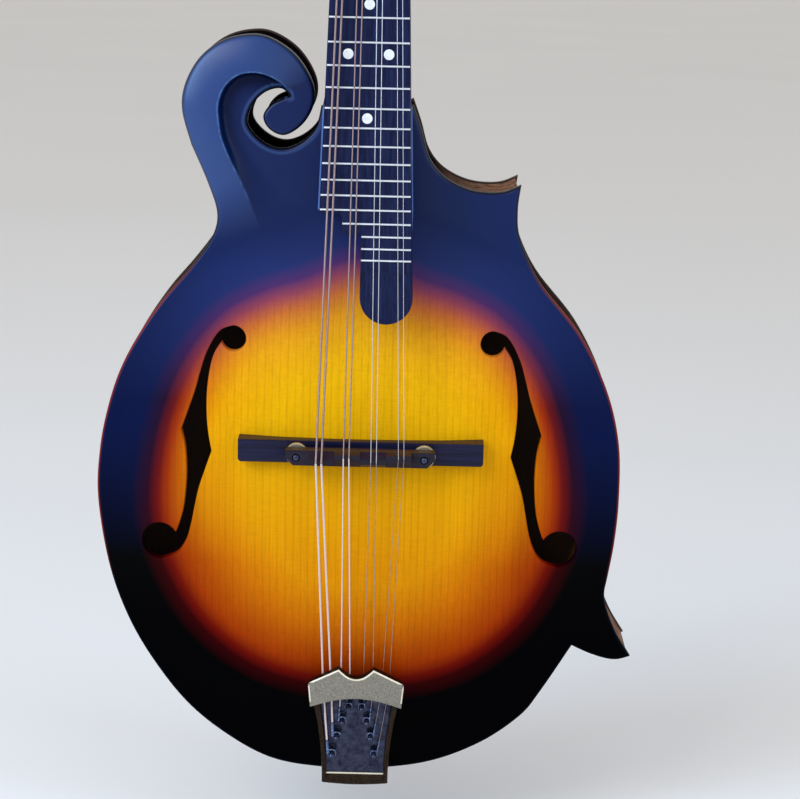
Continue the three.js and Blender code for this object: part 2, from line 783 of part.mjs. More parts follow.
// Each fret is a low wire with a bevelled crown, seated across the board
function fingerboard() {
  const outline = boardOutline();
  let board = prism(outline, 0, boardThickness);
  const scoop = block(
    -nutWidth, nutWidth, boardEnd - overrun, scoopStart, boardThickness - scoopDepth,
    boardThickness + overrun,
  );
  board = board.subtract(scoop);
  const reach = prism(outline, 0, boardThickness + fretHeight + overrun);
  for (let number = 1; number <= fretCount; number += 1) {
    const half = fretWidth / 2;
    const middle = fretY(number);
    const wire = crossPrism([
      new THREE.Vector2(middle - half, boardThickness - fretHeight),
      new THREE.Vector2(middle + half, boardThickness - fretHeight),
      new THREE.Vector2(middle + half, boardThickness + fretHeight / 2),
      new THREE.Vector2(middle, boardThickness + fretHeight),
      new THREE.Vector2(middle - half, boardThickness + fretHeight / 2),
    ], -nutWidth, nutWidth);
    board = board.add(wire.intersect(reach));
  }
  return board;
}

function nut() {
  const top = boardThickness + nutHeight;
  const half = nutWidth / 2 - nutTrim;
  const profile = [
    new THREE.Vector2(0, 0), new THREE.Vector2(nutThickness, 0),
    new THREE.Vector2(nutThickness, top - nutBackDrop), new THREE.Vector2(0, top),
  ];
  return crossPrism(profile, -half, half);
}

function trussRod() {
  const start = jointY + heelLength / 2 + seam;
  return along(rod(0, 0, rodRadius, start, rodStub - rodNutLength - seam, smallSegments), 'y');
}

// Tuning machines, drawn about each post in the headstock's frame

const gearMiddle = -headThickness - seam - plateThickness - wormPitchRadius - toothHeight - 2 * seam;
const gearPitch = 2 * Math.PI * gearPitchRadius / gearTeeth;
const wormOffset = gearPitchRadius + wormPitchRadius;

function gearWheel() {
  const outer = gearPitchRadius + toothHeight;
  const root = gearPitchRadius - toothHeight - seam;
  const points = [];
  const tooth = 2 * Math.PI / gearTeeth;
  const start = -Math.PI / 2 + tooth / 2;
  const flanks = [
    [-toothFootShare, root], [-toothCrestShare, outer], [toothCrestShare, outer], [toothFootShare, root],
  ];
  for (let i = 0; i < gearTeeth; i += 1) {
    flanks.forEach(([share, radius]) => {
      const turn = start + (i + share) * tooth;
      points.push(new THREE.Vector2(radius * Math.cos(turn), radius * Math.sin(turn)));
    });
  }
  return prism(points, -gearThickness / 2, gearThickness / 2);
}

function stringPost() {
  const top = postHeight - gearMiddle;
  const waist = windTop - gearMiddle;
  const post = turned([
    [0, 0], [postRadius, 0], [postRadius, veneerThickness + seam - gearMiddle],
    [postWaist, waist - windLength],
    [postWaist, waist + postHoleRadius], [postRadius, top - postHoleRadius], [postWaist, top], [0, top],
  ], smallSegments);
  const hole = shifted(along(rod(0, 0, postHoleRadius, -overrun, overrun, tinySegments), 'x'), 0, 0, waist);
  return post.subtract(hole).add(gearWheel());
}

// The worm's one helical thread about x, centred so that it meets the gear on the side at the given angle
function wormThread(gearSide) {
  const half = gearPitch * wormTurns / 2;
  const foot = wormPitchRadius - toothHeight - 2 * seam;
  const crest = wormPitchRadius + toothHeight;
  const flanks = [[-threadFootShare, foot], [threadFootShare, foot], [0, crest]];
  const rings = [];
  for (let step = 0; step <= smallSegments * wormTurns; step += 1) {
    const turn = gearSide + 2 * Math.PI * step / smallSegments;
    const middle = -half + gearPitch * step / smallSegments;
    rings.push(flanks.map(([share, radius]) => [
      middle + share * gearPitch, radius * Math.cos(turn), radius * Math.sin(turn),
    ]));
  }
  return loft(rings);
}

// A worm, its shaft through the two ears and the button that turns them
function buttonShaft(side) {
  const inner = earOffset + earThickness + 2 * seam;
  const collar = gearPitch * (wormTurns + 1) / 2;
  const shaft = along(turned([
    [0, -inner], [shaftRadius, -inner], [shaftRadius, -collar], [wormCore, -collar], [wormCore, collar],
    [shaftRadius, collar], [shaftRadius, shaftReach + buttonSink * 2], [0, shaftReach + buttonSink * 2],
  ], smallSegments), 'x');
  const button = new THREE.SphereGeometry(buttonLength / 2, smallSegments, tinySegments)
    .scale(1, buttonWidth / buttonLength, buttonThickness / buttonLength)
    .translate(shaftReach + buttonLength / 2 - buttonSink, 0, 0);
  const whole = shaft.add(wormThread(side > 0 ? 0 : Math.PI)).add(solidOf(button));
  return side > 0 ? whole : inFrame(whole, new THREE.Matrix4().makeRotationZ(Math.PI));
}

// A plate with two ears for each worm, and a hole for each post
function tunerPlate(side) {
  const top = -headThickness - seam;
  const low = postStart - wormOffset - plateMargin / 2;
  const high = postStart + (postRows - 1) * postSpacing + plateMargin;
  const middle = side * postSpread;
  const bottom = gearMiddle - earRadius;
  let plate = block(middle - plateWidth / 2, middle + plateWidth / 2, low, high, top - plateThickness, top);
  for (let row = 0; row < postRows; row += 1) {
    const y = postStart + row * postSpacing;
    plate = plate.subtract(rod(middle, y, postRadius + seam, top - overrun, top + overrun, smallSegments));
    const wormY = y - wormOffset;
    const bore = shifted(
      along(rod(0, 0, shaftRadius + seam, -plateWidth, plateWidth, tinySegments), 'x'), middle, wormY,
      gearMiddle,
    );
    [-1, 1].forEach((end) => {
      const near = middle + end * earOffset - earThickness / 2;
      const ear = crossPrism([
        new THREE.Vector2(wormY - earRadius, top - plateThickness / 2),
        new THREE.Vector2(wormY - earRadius, gearMiddle - earRadius / 2),
        new THREE.Vector2(wormY - earRadius / 2, bottom), new THREE.Vector2(wormY + earRadius / 2, bottom),
        new THREE.Vector2(wormY + earRadius, gearMiddle - earRadius / 2),
        new THREE.Vector2(wormY + earRadius, top - plateThickness / 2),
      ], near, near + earThickness);
      plate = plate.add(ear.subtract(bore));
    });
  }
  return plate;
}

// Bridge


function bridgeBase() {
  const half = baseLength / 2;
  const foot = baseFootWidth / 2;
  const top = baseTopWidth / 2;
  const profile = [
    new THREE.Vector2(saddleY - foot, 0), new THREE.Vector2(saddleY + foot, 0),
    new THREE.Vector2(saddleY + top, baseHeight), new THREE.Vector2(saddleY - top, baseHeight),
  ];
  let base = crossPrism(profile, -half, half).subtract(topSpace(seam));
  [-1, 1].forEach((side) => {
    base = base.subtract(rod(
      side * bridgePostSpread, saddleY, bridgePostRadius + seam, baseHeight - bridgePostSink,
      baseHeight + overrun,
    ));
  });
  return base;
}

function thumbwheel() {
  const points = [];
  for (let i = 0; i < wheelRidges * 2; i += 1) {
    const radius = wheelRadius - (i % 2) * wheelRidgeDepth;
    const turn = Math.PI * i / wheelRidges;
    points.push(new THREE.Vector2(radius * Math.cos(turn), radius * Math.sin(turn)));
  }
  return prism(points, 0, wheelThickness).subtract(rod(0, 0, bridgePostRadius + seam, -overrun, overrun));
}

// The saddle is drawn about its own middle, from its underside, with one crest for each pair of strings
function saddle() {
  const half = saddleLength / 2;
  const inner = half - saddleEarLength;
  const wide = saddleWidth / 2;
  const plan = [
    new THREE.Vector2(-half, wide), new THREE.Vector2(-half, -wide + saddleEarRound),
    new THREE.Vector2(-half + saddleEarRound, -wide), new THREE.Vector2(half - saddleEarRound, -wide),
    new THREE.Vector2(half, -wide + saddleEarRound), new THREE.Vector2(half, wide),
  ];
  let body = prism(plan, 0, saddleEarHeight);
  crestSetbackShares.forEach((share, i) => {
    const left = -inner + 2 * inner * i / crestSetbackShares.length;
    const middle = share * (saddleWidth - crestWidth);
    const crest = crossPrism([
      new THREE.Vector2(-wide, saddleEarHeight - crestDepth),
      new THREE.Vector2(wide, saddleEarHeight - crestDepth),
      new THREE.Vector2(wide, saddleEarHeight), new THREE.Vector2(middle + crestWidth / 2, saddleHeight),
      new THREE.Vector2(middle - crestWidth / 2, saddleHeight), new THREE.Vector2(-wide, saddleEarHeight),
    ], left, left + inner / 2);
    body = body.add(crest);
  });
  [-1, 1].forEach((side) => {
    body = body.subtract(rod(
      side * bridgePostSpread, 0, bridgePostRadius + seam, -overrun, saddleHeight + overrun,
    ));
  });
  return body;
}

function crestY(pair) {
  return saddleY + crestSetbackShares[pair] * (saddleWidth - crestWidth);
}

// Tailpiece, drawn from the tail edge of the body in its own tilted frame

const hookPlaces = hookShares.map(([x, y]) => [x * trayWidth / 2, y * crownPlace]);
const screwPlaces = [{ x: -trayWidth / 3, z: -screwDrop }, { x: trayWidth / 3, z: -screwDrop }];

// The holes for the strap button and the screws, through the apron, the rim and the tail block
function tailHoles() {
  const hole = (x, z, radius) => shifted(
    along(rod(0, 0, radius + seam, -tailBlockDepth - overrun, overrun), '-y'), x, tailY, z,
  );
  return screwPlaces.reduce(
    (holes, { x, z }) => holes.add(hole(x, z, screwRadius)), hole(0, -pinDrop, pinRadius),
  );
}

function tailpiece() {
  const reach = crownPlace + crownOverlap;
  const half = trayWidth / 2;
  const wide = trayTopWidth / 2;
  const plan = [
    new THREE.Vector2(-half, -apronThickness - seam), new THREE.Vector2(half, -apronThickness - seam),
    new THREE.Vector2(wide, crownPlace), new THREE.Vector2(wide, reach), new THREE.Vector2(-wide, reach),
    new THREE.Vector2(-wide, crownPlace),
  ];
  let cast = prism(plan, 0, trayThickness);
  cast = cast.add(prism(plan, 0, railHeight).subtract(prism(
    inset(plan, railWidth), trayThickness, railHeight + overrun,
  )));
  const crown = [...crownHalfShares, ...crownHalfShares.slice(1, -1).reverse().map(([x, y]) => [-x, y])]
    .map(([x, y]) => new THREE.Vector2(x * crownWidth / 2, crownPlace + y * crownDepth));
  cast = cast.add(prism(crown, crownLift, crownLift + crownThickness));
  [-1, 1].forEach((side) => {
    const outer = side * wide;
    const inner = side * (wide - railWidth);
    cast = cast.add(block(
      Math.min(outer, inner), Math.max(outer, inner), crownPlace + seam, reach - seam,
      trayThickness / 2, crownLift + crownThickness / 2,
    ));
  });
  hookPlaces.forEach(([x, y]) => {
    cast = cast.add(rod(x, y, hookRadius, trayThickness / 2, trayThickness + hookHeight, tinySegments));
  });
  const apron = block(
    -half, half, tailY - seam - apronThickness, tailY - seam, tailGap - apronLength,
    tailGap + trayThickness / 2,
  );
  return inFrame(cast, tailFrame).add(apron).subtract(tailHoles());
}

function screw() {
  return turned([
    [0, -screwLength], [screwRadius / 2, -screwLength + screwRadius], [screwRadius, -screwLength / 2],
    [screwRadius, 0],
    [screwHeadRadius, 0], [screwHeadRadius - screwHeadHeight / 2, screwHeadHeight], [0, screwHeadHeight],
  ], smallSegments);
}

function strapButton() {
  const outside = pinShares.map(([radius, height]) => [radius * pinHeadRadius, height * pinLength]);
  return turned([[0, -pinSink], [pinRadius, -pinSink], [pinRadius, 0], ...outside], fineSegments);
}

// Strings

// A closed tube through points that keeps its section square to its way
function tube(points, radius) {
  const normal = new THREE.Vector3(0, 0, 1);
  return loft(points.map((point, i) => {
    const before = points[Math.max(i - 1, 0)];
    const after = points[Math.min(i + 1, points.length - 1)];
    const way = after.clone().sub(before).normalize();
    normal.addScaledVector(way, -normal.dot(way)).normalize();
    const side = new THREE.Vector3().crossVectors(way, normal);
    const ring = [];
    for (let j = 0; j < stringSides; j += 1) {
      const turn = 2 * Math.PI * j / stringSides;
      ring.push(point.clone().addScaledVector(normal, radius * Math.cos(turn))
        .addScaledVector(side, radius * Math.sin(turn)).toArray());
    }
    return ring;
  }));
}

function pairPlace(index, spread, pairGap) {
  const pair = Math.floor(index / 2);
  return spread * (pair / 3 - 0.5) + (index % 2 - 0.5) * pairGap;
}

const postOrder = [0, 1, 2, 3, 7, 6, 5, 4];

function stringPath(index) {
  const radius = stringRadii[index];
  const [hookX, hookY] = hookPlaces[index];
  const turnRadius = hookRadius + radius + seam;
  const level = stringLift + radius;
  const points = [];
  const outward = Math.sign(hookX);
  for (let i = 0; i <= loopSteps; i += 1) {
    const turn = 2 * Math.PI * loopShare * (i / loopSteps - 1);
    points.push(new THREE.Vector3(
      hookX + outward * turnRadius * Math.cos(turn), hookY + turnRadius * Math.sin(turn), level,
    ).applyMatrix4(tailFrame));
  }
  const crownX = stringCrownShares[index] * crownSpread / 2;
  points.push(new THREE.Vector3(crownX, crownPlace + crownPass, level).applyMatrix4(tailFrame));
  const pair = Math.floor(index / 2);
  points.push(new THREE.Vector3(
    pairPlace(index, saddleSpread, saddlePairGap), crestY(pair), saddleTop + seam + radius,
  ));
  points.push(new THREE.Vector3(
    pairPlace(index, nutSpread, nutPairGap), 0, boardThickness + nutHeight + seam + radius,
  ).applyMatrix4(neckFrame));
  const { side, x, y } = postPlaces[postOrder[index]];
  const coil = postRadius + radius + seam;
  const pitch = 2 * radius + windGap;
  for (let i = 0; i <= windTurns * windSteps; i += 1) {
    const turn = 2 * Math.PI * i / windSteps;
    points.push(new THREE.Vector3(
      x - side * coil * Math.cos(turn), y + coil * Math.sin(turn), windTop - pitch * i / windSteps,
    ).applyMatrix4(headFrame));
  }
  return points;
}

function leastSelfGap(points, radius) {
  let least = Infinity;
  points.forEach((point, i) => {
    for (let j = i + Math.floor(windSteps / 2); j < points.length; j += 1) {
      least = Math.min(least, point.distanceTo(points[j]) - 2 * radius);
    }
  });
  return least;
}

// Materials

const finishes = {
  spruce: new THREE.MeshStandardMaterial({ color: 0xc98a3a, roughness: 0.45 }),
  maple: new THREE.MeshStandardMaterial({ color: 0x3a2018, roughness: 0.45 }),
  plainWood: new THREE.MeshStandardMaterial({ color: 0xb98a5a, roughness: 0.8 }),
  ebony: new THREE.MeshStandardMaterial({ color: 0x1f1c22, roughness: 0.5 }),
  bone: new THREE.MeshStandardMaterial({ color: 0xe8e0cc, roughness: 0.5 }),
  bronze: new THREE.MeshStandardMaterial({ color: 0x6b6148, roughness: 0.45, metalness: 0.8 }),
  brass: new THREE.MeshStandardMaterial({ color: 0xb8a878, roughness: 0.35, metalness: 0.9 }),
  steel: new THREE.MeshStandardMaterial({ color: 0xb8bcc0, roughness: 0.3, metalness: 1 }),
  wound: new THREE.MeshStandardMaterial({ color: 0xa8703c, roughness: 0.35, metalness: 0.9 }),
};

function piece(name, shape, finish) {
  const mesh = new THREE.Mesh(geometryOf(shape), finishes[finish]);
  mesh.name = name;
  return mesh;
}

function framed(frame, ...children) {
  const group = new THREE.Group();
  group.applyMatrix4(frame);
  group.add(...children);
  return group;
}

// Assembly

const mandolin = new THREE.Group();
mandolin.add(
  piece('top_plate', topPlate(), 'spruce'),
  piece('back_plate', backPlate(), 'maple'),
  piece('rim', rimRing().subtract(tenon(seam)).subtract(tailHoles()), 'maple'),
  piece('top_lining', lining(rimTop - liningHeight), 'plainWood'),
  piece('back_lining', lining(rimBottom), 'plainWood'),
  piece('head_block', headBlock(), 'plainWood'),
  piece('tail_block', tailBlock(), 'plainWood'),
  piece('upper_point_block', cornerBlock(upperPointBlockShares.map(place)), 'plainWood'),
  piece('lower_point_block', cornerBlock(lowerPointBlockShares.map(place)), 'plainWood'),
  piece('tone_bar_bass', toneBar(-1), 'plainWood'),
  piece('tone_bar_treble', toneBar(1), 'plainWood'),
  piece('neck', neckPiece(), 'maple'),
  piece('fingerboard_riser', riser(), 'maple'),
  piece('bridge_base', bridgeBase(), 'ebony'),
  piece('tailpiece', tailpiece(), 'bronze'),
);

screwPlaces.forEach(({ x, z }, i) => {
  const mesh = piece(`tailpiece_screw_${i + 1}`, screw(), 'bronze');
  mesh.position.set(x, tailY - seam - apronThickness - seam, z);
  mesh.rotation.x = Math.PI / 2;
  mandolin.add(mesh);
});

const pin = piece('strap_button', strapButton(), 'ebony');
pin.position.set(0, tailY - seam - apronThickness - seam, -pinDrop);
pin.rotation.x = Math.PI / 2;
mandolin.add(pin);

[['bass', -1], ['treble', 1]].forEach(([label, side]) => {
  const post = piece(`bridge_post_${label}`, rod(
    0, 0, bridgePostRadius, baseHeight - bridgePostSink + seam, baseHeight + bridgePostReach,
  ), 'brass');
  const wheel = piece(`thumbwheel_${label}`, thumbwheel(), 'brass');
  post.position.set(side * bridgePostSpread, saddleY, 0);
  wheel.position.set(side * bridgePostSpread, saddleY, wheelBottom);
  mandolin.add(post, wheel);
});

const saddleMesh = piece('bridge_saddle', saddle(), 'ebony');
saddleMesh.position.set(0, saddleY, saddleBottom);
mandolin.add(saddleMesh);

const rodNut = piece('truss_rod_nut', along(rod(0, 0, rodNutRadius, 0, rodNutLength, 6), '-y'), 'brass');
rodNut.position.set(0, rodStub, -rodDepth);
const rodMesh = piece('truss_rod', trussRod(), 'steel');
rodMesh.position.z = -rodDepth;
mandolin.add(framed(
  neckFrame,
  piece('fingerboard', fingerboard(), 'ebony'),
  piece('nut', nut(), 'bone'),
  rodMesh,
  rodNut,
));

const coverEdge = [...coverHalfShares, ...coverHalfShares.slice(0, -1).reverse().map(([x, y]) => [-x, y])];
const coverOutline = smooth(
  coverEdge.map(([x, y]) => new THREE.Vector2(x * coverWidth / 2, y * coverLength)), edgeSteps * 2,
);
const cover = piece('truss_rod_cover', prism(coverOutline, 0, coverThickness), 'ebony');
cover.position.set(0, seam, veneerThickness + 2 * seam);

const veneer = withPostHoles(prism(headOutline, seam, seam + veneerThickness)).subtract(trussPocket());
const head = framed(
  headFrame,
  piece('headstock_veneer', veneer, 'ebony'),
  cover,
  piece('tuner_plate_bass', tunerPlate(-1), 'bronze'),
  piece('tuner_plate_treble', tunerPlate(1), 'bronze'),
);
postPlaces.forEach(({ side, row, x, y }) => {
  const label = `${side < 0 ? 'bass' : 'treble'}_${row + 1}`;
  const post = piece(`tuner_post_${label}`, stringPost(), 'bronze');
  post.position.set(x, y, gearMiddle);
  const shaft = piece(`tuner_worm_${label}`, buttonShaft(side), 'bronze');
  shaft.position.set(x, y - wormOffset, gearMiddle);
  head.add(post, shaft);
});
mandolin.add(head);

stringNames.forEach((label, index) => {
  const path = stringPath(index);
  const gap = leastSelfGap(path, stringRadii[index]);
  console.log(`string ${label}: least gap to itself ${gap.toFixed(2)} mm`);
  mandolin.add(piece(`string_${label}`, tube(path, stringRadii[index]), index < 4 ? 'wound' : 'steel'));
});

mandolin.rotation.x = Math.PI / 2;

export default mandolin;
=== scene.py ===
"""The looks of a carved, scroll-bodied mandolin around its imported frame.

Shapes are drawn in the body's own axes, in millimetres: x to the treble side, y toward the head, z out of
the face, with y = 0 at the nut and z = 0 at the upper edge of the top plate. make() turns them into the
frame's metres.
"""

import math

import bmesh
import bpy
import numpy as np
from mathutils import Matrix, Vector
from mathutils.geometry import delaunay_2d_cdt


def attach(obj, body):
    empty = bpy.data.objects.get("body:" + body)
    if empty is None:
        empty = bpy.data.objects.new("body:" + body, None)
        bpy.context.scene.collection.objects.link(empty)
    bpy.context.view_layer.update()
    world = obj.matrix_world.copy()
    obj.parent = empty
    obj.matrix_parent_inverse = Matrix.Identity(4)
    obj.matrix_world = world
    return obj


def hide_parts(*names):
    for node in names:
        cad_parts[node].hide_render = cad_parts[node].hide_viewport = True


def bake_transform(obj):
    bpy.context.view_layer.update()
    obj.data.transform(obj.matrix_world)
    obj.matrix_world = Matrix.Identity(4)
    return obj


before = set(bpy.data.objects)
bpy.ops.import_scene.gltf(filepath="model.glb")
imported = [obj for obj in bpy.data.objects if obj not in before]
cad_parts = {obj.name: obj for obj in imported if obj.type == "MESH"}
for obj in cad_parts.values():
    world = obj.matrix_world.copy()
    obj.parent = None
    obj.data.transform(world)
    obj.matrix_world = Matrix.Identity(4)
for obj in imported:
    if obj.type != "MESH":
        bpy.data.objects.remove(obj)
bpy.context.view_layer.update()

# Sizes, the same as the CAD part's
SCALE_LENGTH = 355.0
SADDLE_Y = -358.0
BODY_LENGTH = 360.0
BODY_WIDTH = 252.0
TAIL_Y = -525.0
JOINT_Y = -195.96
SEAM = 0.3
TOP_THICKNESS = 4.6
BACK_THICKNESS = 4.4
RIM_TOP = -4.9
RIM_BOTTOM = -38.9
BACK_TOP = -39.2
RIM_INSET = 0.8
RIM_THICKNESS = 2.6
TOP_ARCH = 15.5
BACK_ARCH = 12.0
ARCH_POWER = 1.6
BAND_RISE = 4.6
HEEL_BUTTON = 13
NUT_WIDTH = 28.0
NUT_THICKNESS = 4.5
NUT_HEIGHT = 1.5
BOARD_FLARE = 0.0591
BOARD_THICKNESS = 4.5
BOARD_END = -296.0
SCOOP_START = -272.0
SCOOP_DEPTH = 1.4
POST_SPREAD, POST_START, POST_SPACING, POST_RADIUS = 18.5, 36, 23, 2.5
WORM_OFFSET, GEAR_MIDDLE = 6.7, -18.75
BRIDGE_POST_SPREAD = 30
WHEEL_LEVEL, WHEEL_THICKNESS, WHEEL_RADIUS = 21.9, 2.6, 5.4
SADDLE_TOP = 35.0
SADDLE_SPREAD, SADDLE_PAIR_GAP, SADDLE_DEPTH = 38.4, 2.6, 4.7
NUT_SPREAD, NUT_PAIR_GAP = 19.6, 2.4
STRING_RADII = (0.51, 0.51, 0.33, 0.33, 0.19, 0.19, 0.14, 0.14)
STRING_NAMES = ("g_outer", "g_inner", "d_outer", "d_inner", "a_inner", "a_outer", "e_inner", "e_outer")
STRING_LIFT = 4.6
TRAY_WIDTH = 32.5
CROWN_PLACE = 40.5
CROWN_WIDTH = 46.6
CROWN_DEPTH = 21.0
CROWN_PASS = 7.0
CROWN_SPREAD = 15.9
HOOK_RADIUS = 1.1
PIN_LEVEL = -21


def tilted(x, y, z, degrees):
    """Axes that are moved and then turned about x."""
    return Matrix.Translation((x, y, z)) @ Matrix.Rotation(math.radians(degrees), 4, "X")


# Axes of the neck, the headstock, the tailpiece, its end wall and the strap button in the body's, and the
# way from those to the world
WORLD = Matrix(((0.001, 0, 0, 0), (0, 0, -0.001, 0), (0, 0.001, 0, 0), (0, 0, 0, 1)))
BODY = Matrix.Identity(4)
NECK = tilted(0, 0, -0.5, -4.5)
HEAD = NECK @ tilted(0, NUT_THICKNESS + SEAM, 0, -13)
TAIL = tilted(0, TAIL_Y, 2.4, 7.5)
END_WALL = tilted(0, TAIL_Y - SEAM, 0, 90)
PIN = tilted(0, TAIL_Y - 3, PIN_LEVEL, 90)

# Outlines in thousandths of the body's width and length, from the tail's middle
CUTAWAY = [(84, 914), (100, 883), (116, 847), (146, 822), (195, 806), (250, 804), (288, 814)]
TREBLE = [
    (288, 814), (283, 780), (290, 742), (329, 686), (408, 618), (463, 544), (491, 470), (496, 393),
    (491, 333), (481, 285), (476, 260), (484, 235), (504, 203), (531, 173),
]
LOWER_POINT = [(531, 173), (507, 168), (483, 169), (450, 176), (417, 186)]
BASS = [
    (417, 186), (361, 121), (321, 83), (245, 43), (148, 14), (40, 2), (-70, 2), (-168, 14), (-257, 48),
    (-335, 94), (-404, 158), (-452, 221), (-485, 292), (-504, 380), (-500, 446), (-485, 502), (-461, 555),
    (-426, 603), (-380, 651), (-328, 695), (-290, 733), (-278, 766), (-295, 806), (-327, 857),
]
SCROLL = [
    (-327, 857), (-344, 900), (-340, 933), (-315, 967), (-276, 990), (-230, 1000), (-186, 998), (-137, 977),
    (-105, 944), (-100, 915), (-119, 888), (-153, 872), (-182, 879), (-194, 896), (-177, 913), (-145, 923),
]
SLIT = [
    (-145, 923), (-162, 932), (-190, 927), (-213, 911), (-223, 889), (-210, 872), (-182, 858), (-152, 855),
    (-120, 865), (-96, 884), (-86, 914),
]
ARCH = [
    (0, 28), (200, 57), (350, 150), (440, 275), (462, 400), (425, 530), (335, 645), (235, 720), (120, 765),
    (0, 780), (-120, 775), (-235, 735), (-335, 650), (-430, 530), (-468, 400), (-450, 270), (-360, 145),
    (-200, 55),
]
ARCH_CENTRE = (0, 400)

# The sound holes' place and size in the same measure, and their edges in thousandths of that size
HOLE_PLACE = (244.05, 604.72)
HOLE_SIZE = (138.1, 280.28)
HOLE_OUTER = [
    [(14, -59), (172, -37), (290, 16), (394, 94), (468, 180), (543, 275), (710, 443)],
    [(710, 443), (652, 532), (632, 660), (661, 800), (707, 877), (773, 946)],
]
HOLE_INNER = [
    [(990, 1089), (770, 1056), (644, 992), (569, 905), (514, 807), (451, 710), (284, 537)],
    [(284, 537), (330, 458), (359, 361), (359, 253), (328, 158), (270, 78), (158, 17)],
]

# The crest of the scroll's raised band, from the slit's tip over the curl and down the shoulder: place, share
# of the band's rise, and the width of the drop inside it in millimetres
CREST = [
    (-147, 928, 0, 1.6), (-157, 938, 0.45, 1.6), (-183, 949, 0.8, 1.8), (-211, 953, 1, 2),
    (-237, 950, 1, 2), (-257.5, 940, 1, 2.2), (-270, 927, 1, 2.4), (-276.6, 910, 1, 2.6),
    (-275.4, 892, 1, 3), (-270, 869, 0.97, 3.6), (-256.7, 845, 0.85, 5), (-241, 822, 0.65, 7),
    (-225, 798, 0.42, 10), (-210, 772, 0.2, 14), (-198, 748, 0, 18),
]

# Where the sunburst turns dark red: the treble half, which is then mirrored
BURST_HALF = [
    (0, 703), (107, 675), (179, 658), (254, 628), (317, 575), (357, 511), (381, 439), (385, 361),
    (353, 286), (294, 219), (206, 169), (107, 144), (0, 136),
]
BURST = np.vstack([BURST_HALF, np.array(BURST_HALF)[-2:0:-1] * (-1, 1)])


# ---------------------------------------------------------------- shapes


def unit(x):
    return np.clip(x, 0, 1)


def spline(points, steps, closed=False):
    """Points on a Catmull-Rom curve through the given ones."""
    p = np.asarray(points, float)
    n = len(p)
    spans = n if closed else n - 1
    out = []
    for i in range(spans):
        a, b = p[i], p[(i + 1) % n]
        before = p[(i - 1) % n] if closed or i else a
        after = p[(i + 2) % n] if closed or i + 2 < n else b
        v, w = (b - before) / 2, (after - a) / 2
        for k in range(steps):
            t = k / steps
            out.append((2 * a - 2 * b + v + w) * t**3 + (3 * b - 3 * a - 2 * v - w) * t**2 + v * t + a)
    if not closed:
        out.append(p[-1])
    return np.array(out)


def arc(middle, radius, first, last, count, closed=False):
    """Points on an arc or, from two radii, on an ellipse, between two angles in degrees."""
    wide, tall = np.broadcast_to(radius, 2)
    turns = np.radians(np.linspace(first, last, count, endpoint=not closed))
    return np.column_stack([middle[0] + wide * np.cos(turns), middle[1] + tall * np.sin(turns)])


def place(points):
    """Thousandths of the body's width and length in millimetres; further columns stay as they are."""
    out = np.array(points, float)
    out[:, 0] = out[:, 0] / 1000 * BODY_WIDTH
    out[:, 1] = TAIL_Y + out[:, 1] / 1000 * BODY_LENGTH
    return out


def chain(stretches):
    """One closed counterclockwise loop from stretches that share their ends."""
    loop = np.vstack([s[:-1] for s in stretches])
    x, y = loop[:, 0], loop[:, 1]
    area = np.sum(x * np.roll(y, -1) - np.roll(x, -1) * y)
    return loop if area > 0 else loop[::-1]


def nearest(points, line, closed=True):
    """For each point: its distance to a line, where along it (0 to 1) and the side, positive to the left."""
    a = np.asarray(line, float)[:, :2]
    b = np.roll(a, -1, axis=0)
    if not closed:
        a, b = a[:-1], b[:-1]
    way = b - a
    length2 = np.maximum((way**2).sum(1), 1e-12)
    far, along, side = [], [], []
    for chunk in np.array_split(np.asarray(points, float)[:, :2], max(1, len(points) // 1500)):
        rel = chunk[:, None, :] - a[None]
        t = unit((rel * way).sum(2) / length2)
        off = rel - t[..., None] * way
        d2 = (off**2).sum(2)
        i = d2.argmin(1)
        row = np.arange(len(chunk))
        far.append(np.sqrt(d2[row, i]))
        along.append((i + t[row, i]) / len(a))
        side.append(way[i, 0] * rel[row, i, 1] - way[i, 1] * rel[row, i, 0])
    return np.concatenate(far), np.concatenate(along), np.sign(np.concatenate(side))


def inside(points, loop):
    x, y = points[:, 0], points[:, 1]
    result = np.zeros(len(points), bool)
    for (ax, ay), (bx, by) in zip(loop, np.roll(loop, -1, axis=0)):
        crosses = (ay > y) != (by > y)
        if crosses.any():
            result ^= crosses & (x < (bx - ax) * (y - ay) / ((by - ay) or 1e-12) + ax)
    return result


def beside_line(line, way, distance):
    """Points at a distance to the left of a line's, given the way that the line runs at each."""
    way = way / np.linalg.norm(way, axis=1)[:, None]
    return line + distance * np.column_stack([-way[:, 1], way[:, 0]])


def moved(loop, distance):
    """A counterclockwise loop's points moved inward, without those that end nearer to it than that."""
    out = beside_line(loop, np.roll(loop, -1, axis=0) - np.roll(loop, 1, axis=0), distance)
    return out[nearest(out, loop)[0] > abs(distance) * 0.97]


